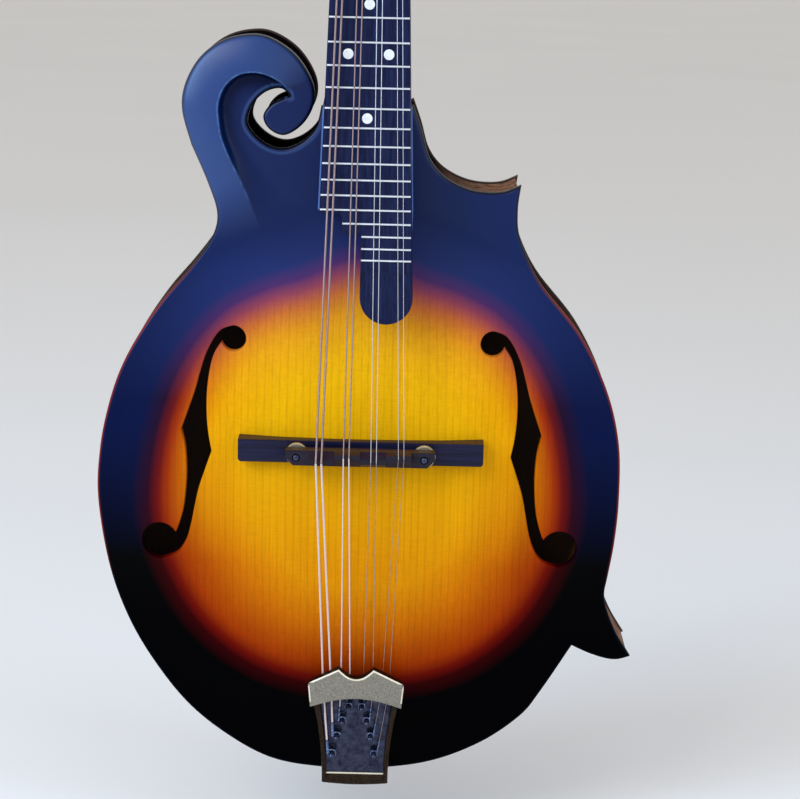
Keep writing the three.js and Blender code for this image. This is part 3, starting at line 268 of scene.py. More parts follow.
def sheet(outline, holes=(), creases=(), rings=(), hole_rings=(), beside=(), spacing=None):
    """Triangles over an outline: loops and creases are edges, with rows of points beside them and a grid."""
    points, edges = [], []
    for line, closed in [(loop, True) for loop in (outline, *holes)] + [(c, False) for c in creases]:
        base, count = len(points), len(line)
        points += [tuple(q[:2]) for q in line]
        edges += [(base + i, base + (i + 1) % count) for i in range(count if closed else count - 1)]
    extra = [moved(outline, d) for d in rings] + [moved(h, -d) for h in holes for d in hole_rings]
    for crease in creases:
        line = crease[:, :2]
        extra += [beside_line(line, np.gradient(line, axis=0), d) for d in beside]
    if spacing:
        low, high = outline.min(0), outline.max(0)
        x, y = np.meshgrid(*(np.arange(a, b, spacing) for a, b in zip(low, high)))
        grid = np.column_stack([x.ravel(), y.ravel()])
        grid = grid[inside(grid, outline)]
        grid = grid[nearest(grid, outline)[0] > max(rings, default=0) + spacing * 0.4]
        for hole in holes:
            grid = grid[nearest(grid, hole)[0] > max(hole_rings, default=0) + spacing * 0.4]
        for crease in creases:
            reach = max(beside, key=abs, default=0)
            grid = grid[nearest(grid, crease, False)[0] > reach + spacing * 0.3]
        extra.append(grid)
    if extra:
        extra = np.vstack(extra)
        extra = extra[inside(extra, outline)]
        for hole in holes:
            extra = extra[~inside(extra, hole)]
        points += [tuple(q) for q in extra]
    verts, _, faces, *_ = delaunay_2d_cdt([Vector(q) for q in points], edges, [], 0, 1e-4)
    xy = np.array([tuple(v) for v in verts])
    faces = np.array(faces)
    middle = xy[faces].mean(1)
    keep = inside(middle, outline)
    for hole in holes:
        keep &= ~inside(middle, hole)
    return xy, faces[keep]


def shell(xy, faces, upper, lower):
    """A closed body between two heights, or fields of heights, over the same triangles."""
    count = len(xy)
    points = np.vstack([np.column_stack([xy, np.broadcast_to(z, count)]) for z in (upper, lower)])
    sides = {}
    for a, b, c in faces.tolist():
        for edge in ((a, b), (b, c), (c, a)):
            if edge[::-1] in sides:
                del sides[edge[::-1]]
            else:
                sides[edge] = True
    walls = [(b, a, a + count, b + count) for a, b in sides]
    return points, faces.tolist() + (faces[:, ::-1] + count).tolist() + walls


def rounded(distance, radius):
    """How far a rolled edge lies below its face at a distance from the edge."""
    t = unit(1 - distance / radius)
    return radius * (1 - np.sqrt(1 - t * t))


def dense(loop, step):
    """The same closed loop with points at most a step apart."""
    stretches = []
    for a, b in zip(loop, np.roll(loop, -1, axis=0)):
        count = max(1, math.ceil(np.hypot(*(b - a)) / step))
        stretches.append(a + (b - a) * np.linspace(0, 1, count, endpoint=False)[:, None])
    return np.vstack(stretches)


def slab(outline, low, high, edge, holes=(), spacing=None):
    """A plate of even thickness with rolled upper and lower edges."""
    outline = dense(outline, 1.5)
    rings = (edge * 0.15, edge * 0.5, edge)
    xy, faces = sheet(outline, holes, rings=rings, hole_rings=rings if holes else (), spacing=spacing)
    drop = rounded(np.min([nearest(xy, loop)[0] for loop in (outline, *holes)], axis=0), edge)
    return shell(xy, faces, high - drop, low + drop)


def strips(rows, count):
    """The quads between closed rings of points."""
    return [
        (r * count + i, r * count + (i + 1) % count, (r + 1) * count + (i + 1) % count, (r + 1) * count + i)
        for r in range(rows - 1) for i in range(count)
    ]


def caps(points, count):
    """The faces that close the first and the last ring."""
    return [tuple(range(count))[::-1], tuple(range(len(points) - count, len(points)))]


def turned(profile, segments=32):
    """A lathe form about z from [radius, height] pairs, closed by a flat face at either end."""
    points = []
    for radius, height in profile:
        for i in range(segments):
            a = 2 * math.pi * i / segments
            points.append((radius * math.cos(a), radius * math.sin(a), height))
    return np.array(points), strips(len(profile), segments) + caps(points, segments)


def tube(path, radius, sides=10, closed=False):
    """A tube along a path; the radius is one value or one for each point."""
    path = np.asarray(path, float)
    count = len(path)
    way = np.roll(path, -1, axis=0) - np.roll(path, 1, axis=0) if closed else np.gradient(path, axis=0)
    way /= np.linalg.norm(way, axis=1)[:, None]
    normal = np.array([0.0, 0.0, 1.0]) if abs(way[0][2]) < 0.9 else np.array([1.0, 0.0, 0.0])
    points = []
    for p, w, r in zip(path, way, np.broadcast_to(radius, count)):
        normal = normal - w * (normal @ w)
        normal /= np.linalg.norm(normal)
        side = np.cross(w, normal)
        for j in range(sides):
            a = 2 * math.pi * j / sides
            points.append(p + r * (math.cos(a) * normal + math.sin(a) * side))
    if closed:
        return np.array(points), [tuple(i % len(points) for i in f) for f in strips(count + 1, sides)]
    return np.array(points), strips(count, sides) + caps(points, sides)


def shifted(form, x, y, z):
    return np.asarray(form[0]) + (x, y, z), form[1]


def shown(name, mesh, material, crease, body, node):
    """The smooth-shaded object of a mesh, on the body that it rides, in place of the CAD node given."""
    mesh.materials.clear()
    mesh.materials.append(material)
    mesh.shade_smooth()
    mesh.set_sharp_from_angle(angle=math.radians(crease))
    piece = bpy.data.objects.new(name, mesh)
    bpy.context.collection.objects.link(piece)
    if body:
        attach(piece, body)
    if node:
        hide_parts(node)
    return piece


def make(name, form, material, axes=BODY, body="mandolin", node=None, crease=35, values=None):
    """A piece from a form in millimetres."""
    way = np.array(WORLD @ axes)
    points = np.asarray(form[0], float) @ way[:3, :3].T + way[:3, 3]
    mesh = bpy.data.meshes.new(name)
    mesh.from_pydata(points.tolist(), [], [list(f) for f in form[1]])
    for key, data in (values or {}).items():
        mesh.attributes.new(key, "FLOAT", "POINT").data.foreach_set("value", np.asarray(data, np.float32))
    return shown(name, mesh, material, crease, body, node)


def refine(node, material, bevel=0.3, body="mandolin", crease=35, corners=0):
    """A CAD node's shape again, with broken edges; corners rounds its lower end corners and the straight lower
    edge that runs between them."""
    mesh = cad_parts[node].data.copy()
    work = bmesh.new()
    work.from_mesh(mesh)
    bmesh.ops.remove_doubles(work, verts=work.verts, dist=1e-6)
    bmesh.ops.dissolve_limit(work, angle_limit=math.radians(1), verts=work.verts, edges=work.edges)
    if corners:
        reach, low = max(v.co.x for v in work.verts) - 1e-5, min(v.co.z for v in work.verts) + 0.001
        ends = [e for e in work.edges if all(abs(v.co.x) > reach and v.co.z < low for v in e.verts)]
        bmesh.ops.bevel(work, geom=ends, offset=corners / 1000, segments=3, profile=0.5, affect="EDGES")
    work.to_mesh(mesh)
    work.free()
    mesh.name = f"{node}_form"
    piece = shown(f"{node}_form", mesh, material, crease, body, node)
    if bevel:
        soften = piece.modifiers.new("edges", "BEVEL")
        soften.width = bevel / 1000
        soften.segments = 2
        soften.limit_method = "ANGLE"
        soften.angle_limit = math.radians(crease)
        soften.harden_normals = True
    return piece


# ---------------------------------------------------------------- materials

BURST_LOW, BURST_HIGH = -30, 60


def srgb(r, g, b):
    """A colour of 0 to 255 a channel as the shader's linear one."""
    return (*((c / 255 / 12.92) if c <= 10 else ((c / 255 + 0.055) / 1.055) ** 2.4 for c in (r, g, b)), 1)


def paint(value):
    """The linear colour of a grey level or of three channels of 0 to 255; one of four stays as it is."""
    if not isinstance(value, tuple):
        return value, value, value, 1
    return srgb(*value) if len(value) == 3 else value


class Finish:
    """A node material that is built up from the shader's back."""

    def __init__(self, name, slot="", **settings):
        self.material = bpy.data.materials.new(name)
        self.material["slot"] = slot
        self.material.use_nodes = True
        self.tree = self.material.node_tree
        self.shader = self.tree.nodes["Principled BSDF"]
        for key, value in settings.items():
            self.shader.inputs[key.replace("_", " ")].default_value = value
        self.place = self.add("ShaderNodeTexCoord").outputs["Object"]

    def add(self, kind, inputs=None, **settings):
        """A node with its settings; an input takes another node's socket or a plain value."""
        node = self.tree.nodes.new(kind)
        for key, value in settings.items():
            setattr(node, key, value)
        for key, value in (inputs or {}).items():
            if isinstance(value, bpy.types.NodeSocket):
                self.tree.links.new(value, node.inputs[key])
            else:
                node.inputs[key].default_value = value
        return node

    def set(self, name, socket):
        self.tree.links.new(socket, self.shader.inputs[name])

    def stretched(self, x, y, z):
        """The object's coordinates in millimetres, times a share on each axis."""
        scale = (1000 * x, 1000 * y, 1000 * z)
        return self.add("ShaderNodeMapping", {"Vector": self.place, "Scale": scale}).outputs["Vector"]

    def noise(self, scale, where=None, detail=3, roughness=0.5, distortion=0):
        return self.add("ShaderNodeTexNoise", {
            "Vector": where or self.stretched(1, 1, 1), "Scale": scale, "Detail": detail,
            "Roughness": roughness, "Distortion": distortion,
        }).outputs["Fac"]

    def wave(self, axis, where, **inputs):
        inputs = {key.replace("_", " "): value for key, value in inputs.items()}
        return self.add("ShaderNodeTexWave", {"Vector": where, **inputs}, bands_direction=axis).outputs["Fac"]

    def facing(self, axis):
        """How far the surface faces along a world axis."""
        normal = self.add("ShaderNodeNewGeometry").outputs["Normal"]
        return self.add("ShaderNodeSeparateXYZ", {"Vector": normal}).outputs[axis]

    def ramp(self, source, *stops):
        node = self.add("ShaderNodeValToRGB", {"Fac": source})
        elements = node.color_ramp.elements
        while len(elements) < len(stops):
            elements.new(0.5)
        for element, (spot, colour) in zip(elements, stops):
            element.position = spot
            element.color = paint(colour)
        return node.outputs["Color"]

    def fade(self, source, dark, light):
        """From one colour to another over the usual range of a noise."""
        return self.ramp(source, (0.3, dark), (0.7, light))

    def mix(self, share, a, b, blend="MIX"):
        a, b = (c if isinstance(c, bpy.types.NodeSocket) else paint(c) for c in (a, b))
        inputs = {0: share, 6: a, 7: b}
        return self.add("ShaderNodeMix", inputs, data_type="RGBA", blend_type=blend).outputs[2]

    def times(self, a, b):
        return self.mix(1.0, a, b, "MULTIPLY")

    def math(self, operation, a, b=0.0):
        return self.add("ShaderNodeMath", {0: a, 1: b}, operation=operation).outputs[0]

    def value(self, name):
        return self.add("ShaderNodeAttribute", attribute_name=name).outputs["Fac"]

    def burst(self):
        """The millimetres inside the burst's contour as a share of their range."""
        inputs = {"Value": self.value("burst"), "From Min": BURST_LOW, "From Max": BURST_HIGH}
        return self.add("ShaderNodeMapRange", inputs).outputs["Result"]

    def burst_ramp(self, share, *stops):
        """A ramp of [millimetres inside the burst's contour, colour] stops."""
        width = BURST_HIGH - BURST_LOW
        return self.ramp(share, *(((spot - BURST_LOW) / width, colour) for spot, colour in stops))

    def bump(self, height, strength, distance):
        inputs = {"Height": height, "Strength": strength, "Distance": distance}
        self.set("Normal", self.add("ShaderNodeBump", inputs).outputs["Normal"])


def spruce_finish():
    """Straight spruce grain under a satin burst from amber through red to a blue black, with painted light:
    paler and bluer toward the scroll as painted sheen, darker toward the tail as painted shade, and painted
    sheen, shade and highlights round the scroll.
    """
    f = Finish("spruce_burst", "spruce", Specular_IOR_Level=0.02, Coat_Roughness=0.34)
    share, height, band, hollow = f.burst(), f.value("height"), f.value("band"), f.value("hollow")
    # Three copies of the same burst by height stand for painted light from above: the upper one's bluer dark
    # and paler amber are painted sheen, the lower one's black edge and deeper amber are painted shade.
    sides = f.burst_ramp(
        share, (-13, (1, 14, 56)), (-5, (30, 6, 34)), (0, (100, 16, 16)), (4, (160, 48, 6)),
        (11, (206, 108, 2)), (22, (230, 156, 2)), (45, (236, 172, 4)),
    )
    low = f.burst_ramp(
        share, (-13, (0, 0, 1)), (-5, (48, 0, 2)), (0, (106, 12, 2)), (7, (162, 54, 1)),
        (16, (178, 76, 1)), (30, (204, 108, 2)), (50, (224, 142, 3)),
    )
    high = f.burst_ramp(
        share, (-30, (4, 27, 76)), (-12, (24, 40, 94)), (-5, (74, 40, 96)), (1, (150, 68, 86)),
        (8, (202, 110, 56)), (17, (226, 150, 36)), (40, (238, 178, 22)),
    )
    colour = f.mix(f.ramp(height, (0.3, 0.0), (0.48, 1.0)), low, sides)
    colour = f.mix(f.ramp(height, (0.52, 0.0), (0.7, 1.0)), colour, high)
    where = f.stretched(1, 1, 0.006)
    years = f.wave("X", where, Scale=0.088, Distortion=5.0, Detail=2.0, Detail_Scale=0.5)
    lines = f.ramp(years, (0.0, 0.88), (0.2, 0.97), (0.5, 1.0), (1.0, 0.98))
    fine = f.ramp(f.noise(1.3, where, detail=2), (0.3, 0.9), (0.6, 1.0))
    broad = f.ramp(f.noise(0.06, where, detail=1), (0.35, 0.93), (0.65, 1.03))
    silk = f.fade(f.noise(0.9, f.stretched(0.2, 1, 1.4), detail=2), 0.95, 1.03)
    grained = f.times(colour, f.times(f.times(f.times(lines, fine), broad), silk))
    colour = f.mix(f.ramp(share, (0.27, 0.0), (0.4, 1.0)), colour, grained)
    # Painted sheen: the scroll's raised band is mixed toward a pale blue.
    colour = f.mix(f.math("MULTIPLY", band, 0.3), colour, (50, 92, 160))
    line_here = f.times(f.ramp(height, (0.27, 0.0), (0.34, 1.0)), f.ramp(height, (0.64, 1.0), (0.72, 0.0)))
    rim = f.mix(line_here, (4, 6, 16), (118, 28, 16))
    colour = f.mix(f.ramp(f.value("edge"), (0.0, 1.0), (0.035, 0.8), (0.06, 0.0)), colour, rim)
    # Painted shade: the hollow inside the scroll's crest is darkened toward a black blue.
    colour = f.mix(hollow, colour, (1, 4, 22))
    # Painted highlight: a pale blue line along the scroll's crest, and a fainter one 1.9 mm beside the slit's
    # edge.
    f.set("Base Color", f.mix(f.value("crest"), colour, (96, 134, 196)))
    blue_coat = f.ramp(height, (0.2, 0.0), (0.5, 0.1), (0.85, 0.42))
    coat = f.mix(f.ramp(share, (0.25, 0.0), (0.5, 1.0)), blue_coat, 0.03)
    f.set("Coat Weight", f.mix(hollow, f.mix(band, coat, 0.8), 0.0))
    f.set("Roughness", f.fade(f.noise(0.02), 0.32, 0.42))
    f.bump(f.mix(0.5, lines, f.noise(0.06, detail=1)), 0.1, 0.0002)
    return f.material


def maple_finish(name, dark, middle, bright, flame_axis=(0.06, 0.4, 0.4), kind="plain"):
    """Flamed maple: short bands of light and dark across the grain, darkened all over ("plain"), outside the
    burst ("burst", with a chevron flame too) or, as painted shade, away from the rim's painted light ("rim")."""
    f = Finish(name, "maple", Roughness=0.4, Specular_IOR_Level=0 if kind == "rim" else 0.3)
    flame = f.noise(0.55, f.stretched(*flame_axis), detail=2, roughness=0.6, distortion=0.6)
    if kind == "burst":
        spot = f.add("ShaderNodeSeparateXYZ", {"Vector": f.stretched(1, 1, 1)}).outputs
        slant = f.math("ADD", spot["Z"], f.math("MULTIPLY", f.math("ABSOLUTE", spot["X"]), 0.3))
        across = f.math("MULTIPLY", spot["X"], 0.25)
        where = f.add("ShaderNodeCombineXYZ", {"X": across, "Z": slant}).outputs["Vector"]
        bands = f.wave("Z", where, Scale=0.036, Distortion=11.0, Detail=3.0, Detail_Scale=0.9)
        flame = f.mix(0.42, flame, bands)
    grain = f.noise(0.7, f.stretched(1, 1, 0.03))
    wood = f.times(f.ramp(flame, (0.36, middle), (0.6, bright)), f.fade(grain, 0.78, 1.05))
    if kind == "burst":
        wood = f.mix(f.ramp(f.burst(), (0.1, 1.0), (0.33, 0.85), (0.62, 0.0)), wood, dark)
    elif kind == "rim":
        # Painted light and shade: the flamed wood shows where the light value is high, near black elsewhere.
        wood = f.mix(f.ramp(f.value("light"), (0.0, 0.0), (0.7, 1.0)), dark, wood)
    else:
        wood = f.mix(0.75, wood, dark)
    f.set("Base Color", wood)
    f.bump(grain, 0.08, 0.0002)
    return f.material


def wood_finish(name, slot, dark, light, roughness=0.6, scale=0.5, axes=(1, 1, 0.04), bump=0.15, **settings):
    """Plain straight-grained wood."""
    f = Finish(name, slot, Roughness=roughness, **settings)
    grain = f.noise(scale, f.stretched(*axes), detail=4, roughness=0.6)
    f.set("Base Color", f.fade(grain, dark, light))
    f.set("Roughness", f.fade(grain, roughness * 0.85, min(1.0, roughness * 1.15)))
    f.bump(grain, bump, 0.0002)
    return f.material


def bridge_finish(name, dark, light):
    """Satin ebony whose faces that point up are painted a purple brown, as painted light from above."""
    f = Finish(name, "ebony", Roughness=0.38, Specular_IOR_Level=0.2)
    grain = f.noise(0.6, f.stretched(0.04, 1, 1), detail=4)
    # Painted light: how far a face points up in the world
    lit_from_above = f.ramp(f.facing("Z"), (0.35, 0.0), (0.75, 1.0))
    f.set("Base Color", f.mix(lit_from_above, f.fade(grain, dark, light), (34, 14, 32)))
    f.bump(grain, 0.1, 0.0002)
    return f.material


def riser_finish():
    """Blue lacquered wood, painted a pale blue as painted sheen on the narrow faces that look out of the
    mandolin's face.
    """
    f = Finish("riser_wood", "ebony", Roughness=0.4, **LACQUER)
    grain = f.noise(0.5, f.stretched(1, 1, 0.04), detail=4, roughness=0.6)
    # Painted sheen on the faces that point toward -y in the world
    front = f.ramp(f.math("MULTIPLY", f.facing("Y"), -1), (0.5, 0.0), (0.9, 1.0))
    wood, painted_sheen = f.fade(grain, (16, 26, 64), (28, 42, 86)), f.fade(grain, (84, 112, 172), (110, 138, 194))
    f.set("Base Color", f.mix(front, wood, painted_sheen))
    f.bump(grain, 0.15, 0.0002)
    return f.material


def metal_finish(name, slot, dark, light, roughness=0.35, scale=0.4, bump=0.1, metallic=1.0):
    """Metal with fine tarnish that changes its colour and roughness."""
    f = Finish(name, slot, Metallic=metallic, Roughness=roughness)
    patch = f.noise(scale, detail=4, roughness=0.65)
    f.set("Base Color", f.fade(patch, dark, light))
    f.set("Roughness", f.fade(patch, roughness * 1.2, roughness * 0.8))
    if bump:
        f.bump(patch, bump, 0.0001)
    return f.material


def wound_finish(name, dark, light, metallic):
    """Bronze wire wound round a core: fine ridges across the string."""
    f = Finish(name, "wound_bronze", Metallic=metallic, Roughness=0.38)
    ridges = f.wave("Z", f.stretched(0, 0, 1), Scale=1.1)
    f.set("Base Color", f.ramp(ridges, (0.1, dark), (0.6, light)))
    f.bump(ridges, 0.5, 0.0001)
    return f.material


def pearl_finish():
    """Nacre with a faint swirl."""
    f = Finish("dot_pearl", "bone", Roughness=0.25, Coat_Weight=0.5)
    swirl = f.noise(0.5, distortion=1.5)
    f.set("Base Color", f.ramp(swirl, (0.35, (226, 230, 236)), (0.65, (252, 252, 250))))
    return f.material


LACQUER = {"Specular_IOR_Level": 0.25, "Specular_Tint": srgb(150, 170, 255)}
SPRUCE = spruce_finish()
BACK_MAPLE = maple_finish("back_maple", (16, 5, 6), (120, 46, 14), (206, 112, 36), kind="burst")
RIM_MAPLE = maple_finish("rim_maple", (13, 9, 12), (104, 72, 56), (156, 118, 94), (0.4, 0.4, 0.03), "rim")
NECK_MAPLE = maple_finish("neck_maple", (12, 7, 10), (48, 22, 18), (84, 40, 26), (0.1, 0.4, 0.4))
RISER_WOOD = riser_finish()
BARE_WOOD = wood_finish("bare_wood", "plain_wood", (112, 74, 42), (164, 118, 72), 0.75)
# Bare wood painted darker, as painted shade, for the back's inner face inside the box
SHADED_INNER_WOOD = wood_finish("shaded_inner_wood", "plain_wood", (44, 27, 16), (74, 47, 29), 0.75)
BOARD_EBONY = wood_finish(
    "board_ebony", "ebony", (12, 15, 38), (32, 38, 70), 0.42, 0.8, (1, 1, 0.02), 0.08, **LACQUER)
BASE_EBONY = bridge_finish("base_ebony", (10, 10, 32), (27, 26, 58))
SADDLE_EBONY = bridge_finish("saddle_ebony", (16, 12, 24), (38, 30, 44))
HEAD_EBONY = wood_finish(
    "head_ebony", "ebony", (8, 8, 16), (22, 20, 30), 0.3, 0.5, (1, 1, 0.03), 0.08, Specular_IOR_Level=0.25)
BONE = wood_finish("nut_bone", "bone", (214, 202, 176), (238, 230, 210), 0.35, 0.3, (1, 1, 1), 0.05)
CAST = metal_finish("cast_bronze", "brass", (98, 93, 82), (178, 171, 156), 0.5, 2.0, 0.6, 0.8)
CAST_EDGE = metal_finish("cast_edge", "brass", (226, 214, 184), (250, 242, 222), 0.32, 0.6, 0.1, 0.7)
CAST_DARK = metal_finish("cast_dark", "brass", (30, 23, 19), (68, 54, 43), 0.45, 0.9, 0.3)
LOOP_STEEL = metal_finish("loop_steel", "steel", (44, 52, 76), (126, 140, 172), 0.3, 0.9, 0.1, 0.9)
TRAY = metal_finish("tray_plate", "brass", (36, 38, 54), (76, 79, 100), 0.26, 0.3, 0.05)
NICKEL = metal_finish("nickel", "steel", (232, 236, 244), (250, 251, 253), 0.32, 0.5, 0, 0.5)
BRASS = metal_finish("pale_brass", "brass", (196, 184, 146), (228, 218, 184), 0.35, 0.6, 0.1)
STEEL = metal_finish("plain_steel", "steel", (196, 192, 190), (228, 226, 224), 0.3, 0.4, 0, 0.8)
DARK_STEEL = metal_finish("dark_steel", "steel", (40, 44, 62), (84, 90, 116), 0.36, 0.8, 0.2)
WOUND = wound_finish("bronze_winding", (92, 68, 68), (186, 158, 150), 0.8)
# Copies of the strings' metals for their tail parts behind the bridge: the wound one paler as painted light,
# the plain one darker and warmer as painted shade.
WOUND_LIT = wound_finish("lit_winding", (176, 142, 134), (246, 226, 218), 0.15)
STEEL_SHADED = metal_finish("shaded_steel", "steel", (150, 128, 116), (186, 166, 152), 0.3, 0.4, 0, 0.9)
PEARL = pearl_finish()
AGED_NICKEL = metal_finish("aged_nickel", "steel", (128, 124, 116), (190, 186, 176), 0.3, 0.5, 0.05)
BUTTON = wood_finish("cream_button", "bone", (196, 178, 140), (226, 210, 176), 0.3, 0.25, (1, 1, 1), 0.03)


# ---------------------------------------------------------------- sound box

OUTLINE = chain([spline(place(part), 7) for part in (CUTAWAY, TREBLE, LOWER_POINT, BASS, SCROLL, SLIT)])
SLIT_LINE = spline(place(SLIT), 5)
BURST_LINE = spline(place(BURST), 6, closed=True)
CREST_LINE = spline(place(CREST), 6)
BAND_REACH, BAND_FADE = 26, 8
EDGE_ROUND = 1.9
LOWER_EYE, UPPER_EYE = (9, 146, -92), (6, -17, -275)
centre = place([ARCH_CENTRE])[0]
arch_line = spline(place(ARCH), 8, closed=True) - centre
arch_turn = np.mod(np.arctan2(arch_line[:, 1], arch_line[:, 0]), 2 * math.pi)
arch_reach = np.hypot(arch_line[:, 0], arch_line[:, 1])
turn_order = np.argsort(arch_turn)


def arch(xy, rise):
    """The height of a plate's arch, which ends in a shallow groove at the arch line."""
    rel = xy - centre
    turn = np.mod(np.arctan2(rel[:, 1], rel[:, 0]), 2 * math.pi)
    reach = np.interp(turn, arch_turn[turn_order], arch_reach[turn_order], period=2 * math.pi)
    share = np.hypot(rel[:, 0], rel[:, 1]) / reach
    height = rise * (1 + np.cos(math.pi * unit(share) ** ARCH_POWER)) / 2
    return height - 0.7 * np.exp(-(((share - 1.02) / 0.05) ** 2))


def scroll_band(xy, edge):
    """The scroll's raised band: convex from the edge to its crest, then a drop into a shallow hollow."""
    far, along, side = nearest(xy, CREST_LINE, closed=False)
    spots = np.linspace(0, 1, len(CREST_LINE))
    strength, width = (np.interp(along, spots, CREST_LINE[:, column]) for column in (2, 3))
    outer = 1 - (1 - edge / np.maximum(edge + far, 1e-6)) ** 1.9
    inner = unit(1 - far / width) ** 1.9 - 0.15 * np.exp(-(((far - width - 2) / 3) ** 2))
    height = np.where(side > 0, inner, outer * unit((BAND_REACH - far) / BAND_FADE))
    return BAND_RISE * strength * height


def sound_hole(side):
    """The loop of a sound hole: two edges between its eyes, which have a radius and two angles."""
    def spots(edge):
        across, down = np.array(edge).T / 1000
        return place(np.column_stack([
            side * (HOLE_PLACE[0] + across * HOLE_SIZE[0]), HOLE_PLACE[1] - down * HOLE_SIZE[1],
        ]))

    def eye(middle, radius, first, last):
        return arc(middle, (side * radius, radius), first, last, 18)

    upper, lower = spots([(0, 0), (1000, 1000)])
    return chain([
        *(spline(spots(edge), 5) for edge in HOLE_OUTER), eye(lower, *LOWER_EYE),
        *(spline(spots(edge), 5) for edge in HOLE_INNER), eye(upper, *UPPER_EYE),
    ])


HOLES = [sound_hole(-1), sound_hole(1)]


def plate_values(xy):
    """What a plate's finish reads at each point, for its upper and its lower face."""
    burst = nearest(xy, BURST_LINE)[0]
    far, along, side = nearest(xy, CREST_LINE, closed=False)
    strength = np.interp(along, np.linspace(0, 1, len(CREST_LINE)), unit(CREST_LINE[:, 2] * 1.6))
    # Painted highlights: a thin line along the crest that weakens down the shoulder, and one 1.9 mm from the
    # slit's edge
    line = strength * np.interp(along, (0.5, 1), (0.52, 0.12)) * unit(1 - far / 0.55)
    bevel = nearest(xy, SLIT_LINE, closed=False)[0]
    values = {
        "burst": np.where(inside(xy, BURST_LINE), burst, -burst),
        "edge": unit(nearest(xy, OUTLINE)[0] / 20),
        "height": (xy[:, 1] - TAIL_Y) / BODY_LENGTH,
        "crest": np.maximum(line, 0.2 * unit(1 - abs(bevel - 1.9) / 0.5)),
        # hollow: painted shade inside the crest, which also takes the coat away there
        "hollow": 0.9 * strength * unit(1.15 - along) * (side > 0) * unit(1 - far / 13) ** 0.8,
        # band: where the scroll's band is, for its painted sheen and its thicker coat
        "band": strength * (side <= 0) * unit((BAND_REACH - far) / BAND_FADE),
    }
    return {key: np.tile(value, 2) for key, value in values.items()}


def top_plate():
    xy, faces = sheet(
        OUTLINE, HOLES, [CREST_LINE], rings=(0.2, 0.6, 1.2, 1.9, 3.2, 5), hole_rings=(0.25, 0.7, 1.5),
        beside=(-2.2, -0.8, 0.5, 1.1, 1.7, 2.4, 4), spacing=3,
    )
    edge = nearest(xy, OUTLINE)[0]
    hole = np.min([nearest(xy, h)[0] for h in HOLES], axis=0)
    rise = arch(xy, TOP_ARCH)
    upper = rise + scroll_band(xy, edge) - rounded(edge, EDGE_ROUND) - rounded(hole, 0.7)
    form = shell(xy, faces, upper, rise - TOP_THICKNESS)
    make("top_plate_form", form, SPRUCE, node="top_plate", values=plate_values(xy))


def back_plate():
    """The back, whose edge runs out round the heel's button; its inner face is plain wood, painted darker than
    the blocks and linings as painted shade.
    """
    button = arc((0, JOINT_Y), HEEL_BUTTON, 198, -18, 30)
    near = np.hypot(OUTLINE[:, 0], OUTLINE[:, 1] - JOINT_Y)
    outline = OUTLINE[near > HEEL_BUTTON + 0.5]
    gap = np.argmax(np.linalg.norm(np.roll(outline, -1, axis=0) - outline, axis=1))
    outline = np.roll(outline, -gap - 1, axis=0)
    if np.hypot(*(outline[-1] - button[0])) > np.hypot(*(outline[-1] - button[-1])):
        button = button[::-1]
    outline = np.vstack([outline, button])
    xy, faces = sheet(outline, rings=(0.2, 0.6, 1.2, 1.9, 4), spacing=4)
    rise = arch(xy, BACK_ARCH)
    lower = BACK_TOP - BACK_THICKNESS - rise + rounded(nearest(xy, outline)[0], EDGE_ROUND)
    form = shell(xy, faces, BACK_TOP - rise * (rise > 0.05), lower)
    piece = make("back_plate_form", form, BACK_MAPLE, node="back_plate", values=plate_values(xy))
    piece.data.materials.append(SHADED_INNER_WOOD)
    for face in piece.data.polygons[:len(faces)]:
        face.material_index = 1


def rim():
    """The bent sides, with a value of painted light that is largest at the treble side's points and fainter
    half way up; elsewhere the sides are darkened as painted shade.
    """
    outer, inner = moved(OUTLINE, RIM_INSET), moved(OUTLINE, RIM_INSET + RIM_THICKNESS)
    xy, faces = sheet(outer, [inner])
    tips = place([TREBLE[0], LOWER_POINT[0]])
    near = np.min([np.hypot(*(xy - tip).T) for tip in tips], axis=0)
    height = (xy[:, 1] - TAIL_Y) / BODY_LENGTH
    # Painted light: highest near the two points and faint half way up the body.
    light = np.maximum(unit(1 - near / 42), 0.35 * unit(1 - abs(height - 0.42) / 0.3))
    form = shell(xy, faces, RIM_TOP, RIM_BOTTOM)
    make("rim_form", form, RIM_MAPLE, node="rim", crease=50, values={"light": np.tile(light, 2)})


top_plate()
back_plate()
rim()
for name in (
    "top_lining", "back_lining", "head_block", "tail_block", "upper_point_block", "lower_point_block",
    "tone_bar_bass", "tone_bar_treble",
):
    refine(name, BARE_WOOD, 0.2)


# ---------------------------------------------------------------- neck, fingerboard and headstock


def half_width(y):
    """Half the fingerboard's width at a place along it."""
    return (NUT_WIDTH - BOARD_FLARE * y) / 2


def fret_y(number):
    """Where a fret stands; 0 is the nut."""
    return -SCALE_LENGTH * (1 - 2 ** (-number / 12))


def board_outline():
    """The board's edge, with the stepped extension that ends in a round tongue at the treble side."""
    step, second = fret_y(20) - 1.5, fret_y(22) + 0.9
    right = half_width(BOARD_END)
    radius, middle = (right + 1.8) / 2, (right - 1.8) / 2
    tongue = arc((middle, BOARD_END + radius), radius, 180, 360, 25)
    ogee = [(-13, step), (-11.8, step - 0.4), (-11, step - 1.6), (-10.8, step - 3), (-10.8, second + 1.5)]
    ogee += [(-10.5, second + 0.7), (-9.8, second + 0.2), (-8.6, second), (-1.8, second)]
    left = [(-half_width(0), -SEAM), (-half_width(step), step)]
    return np.array([*left, *ogee, *tongue, (half_width(0), -SEAM)])


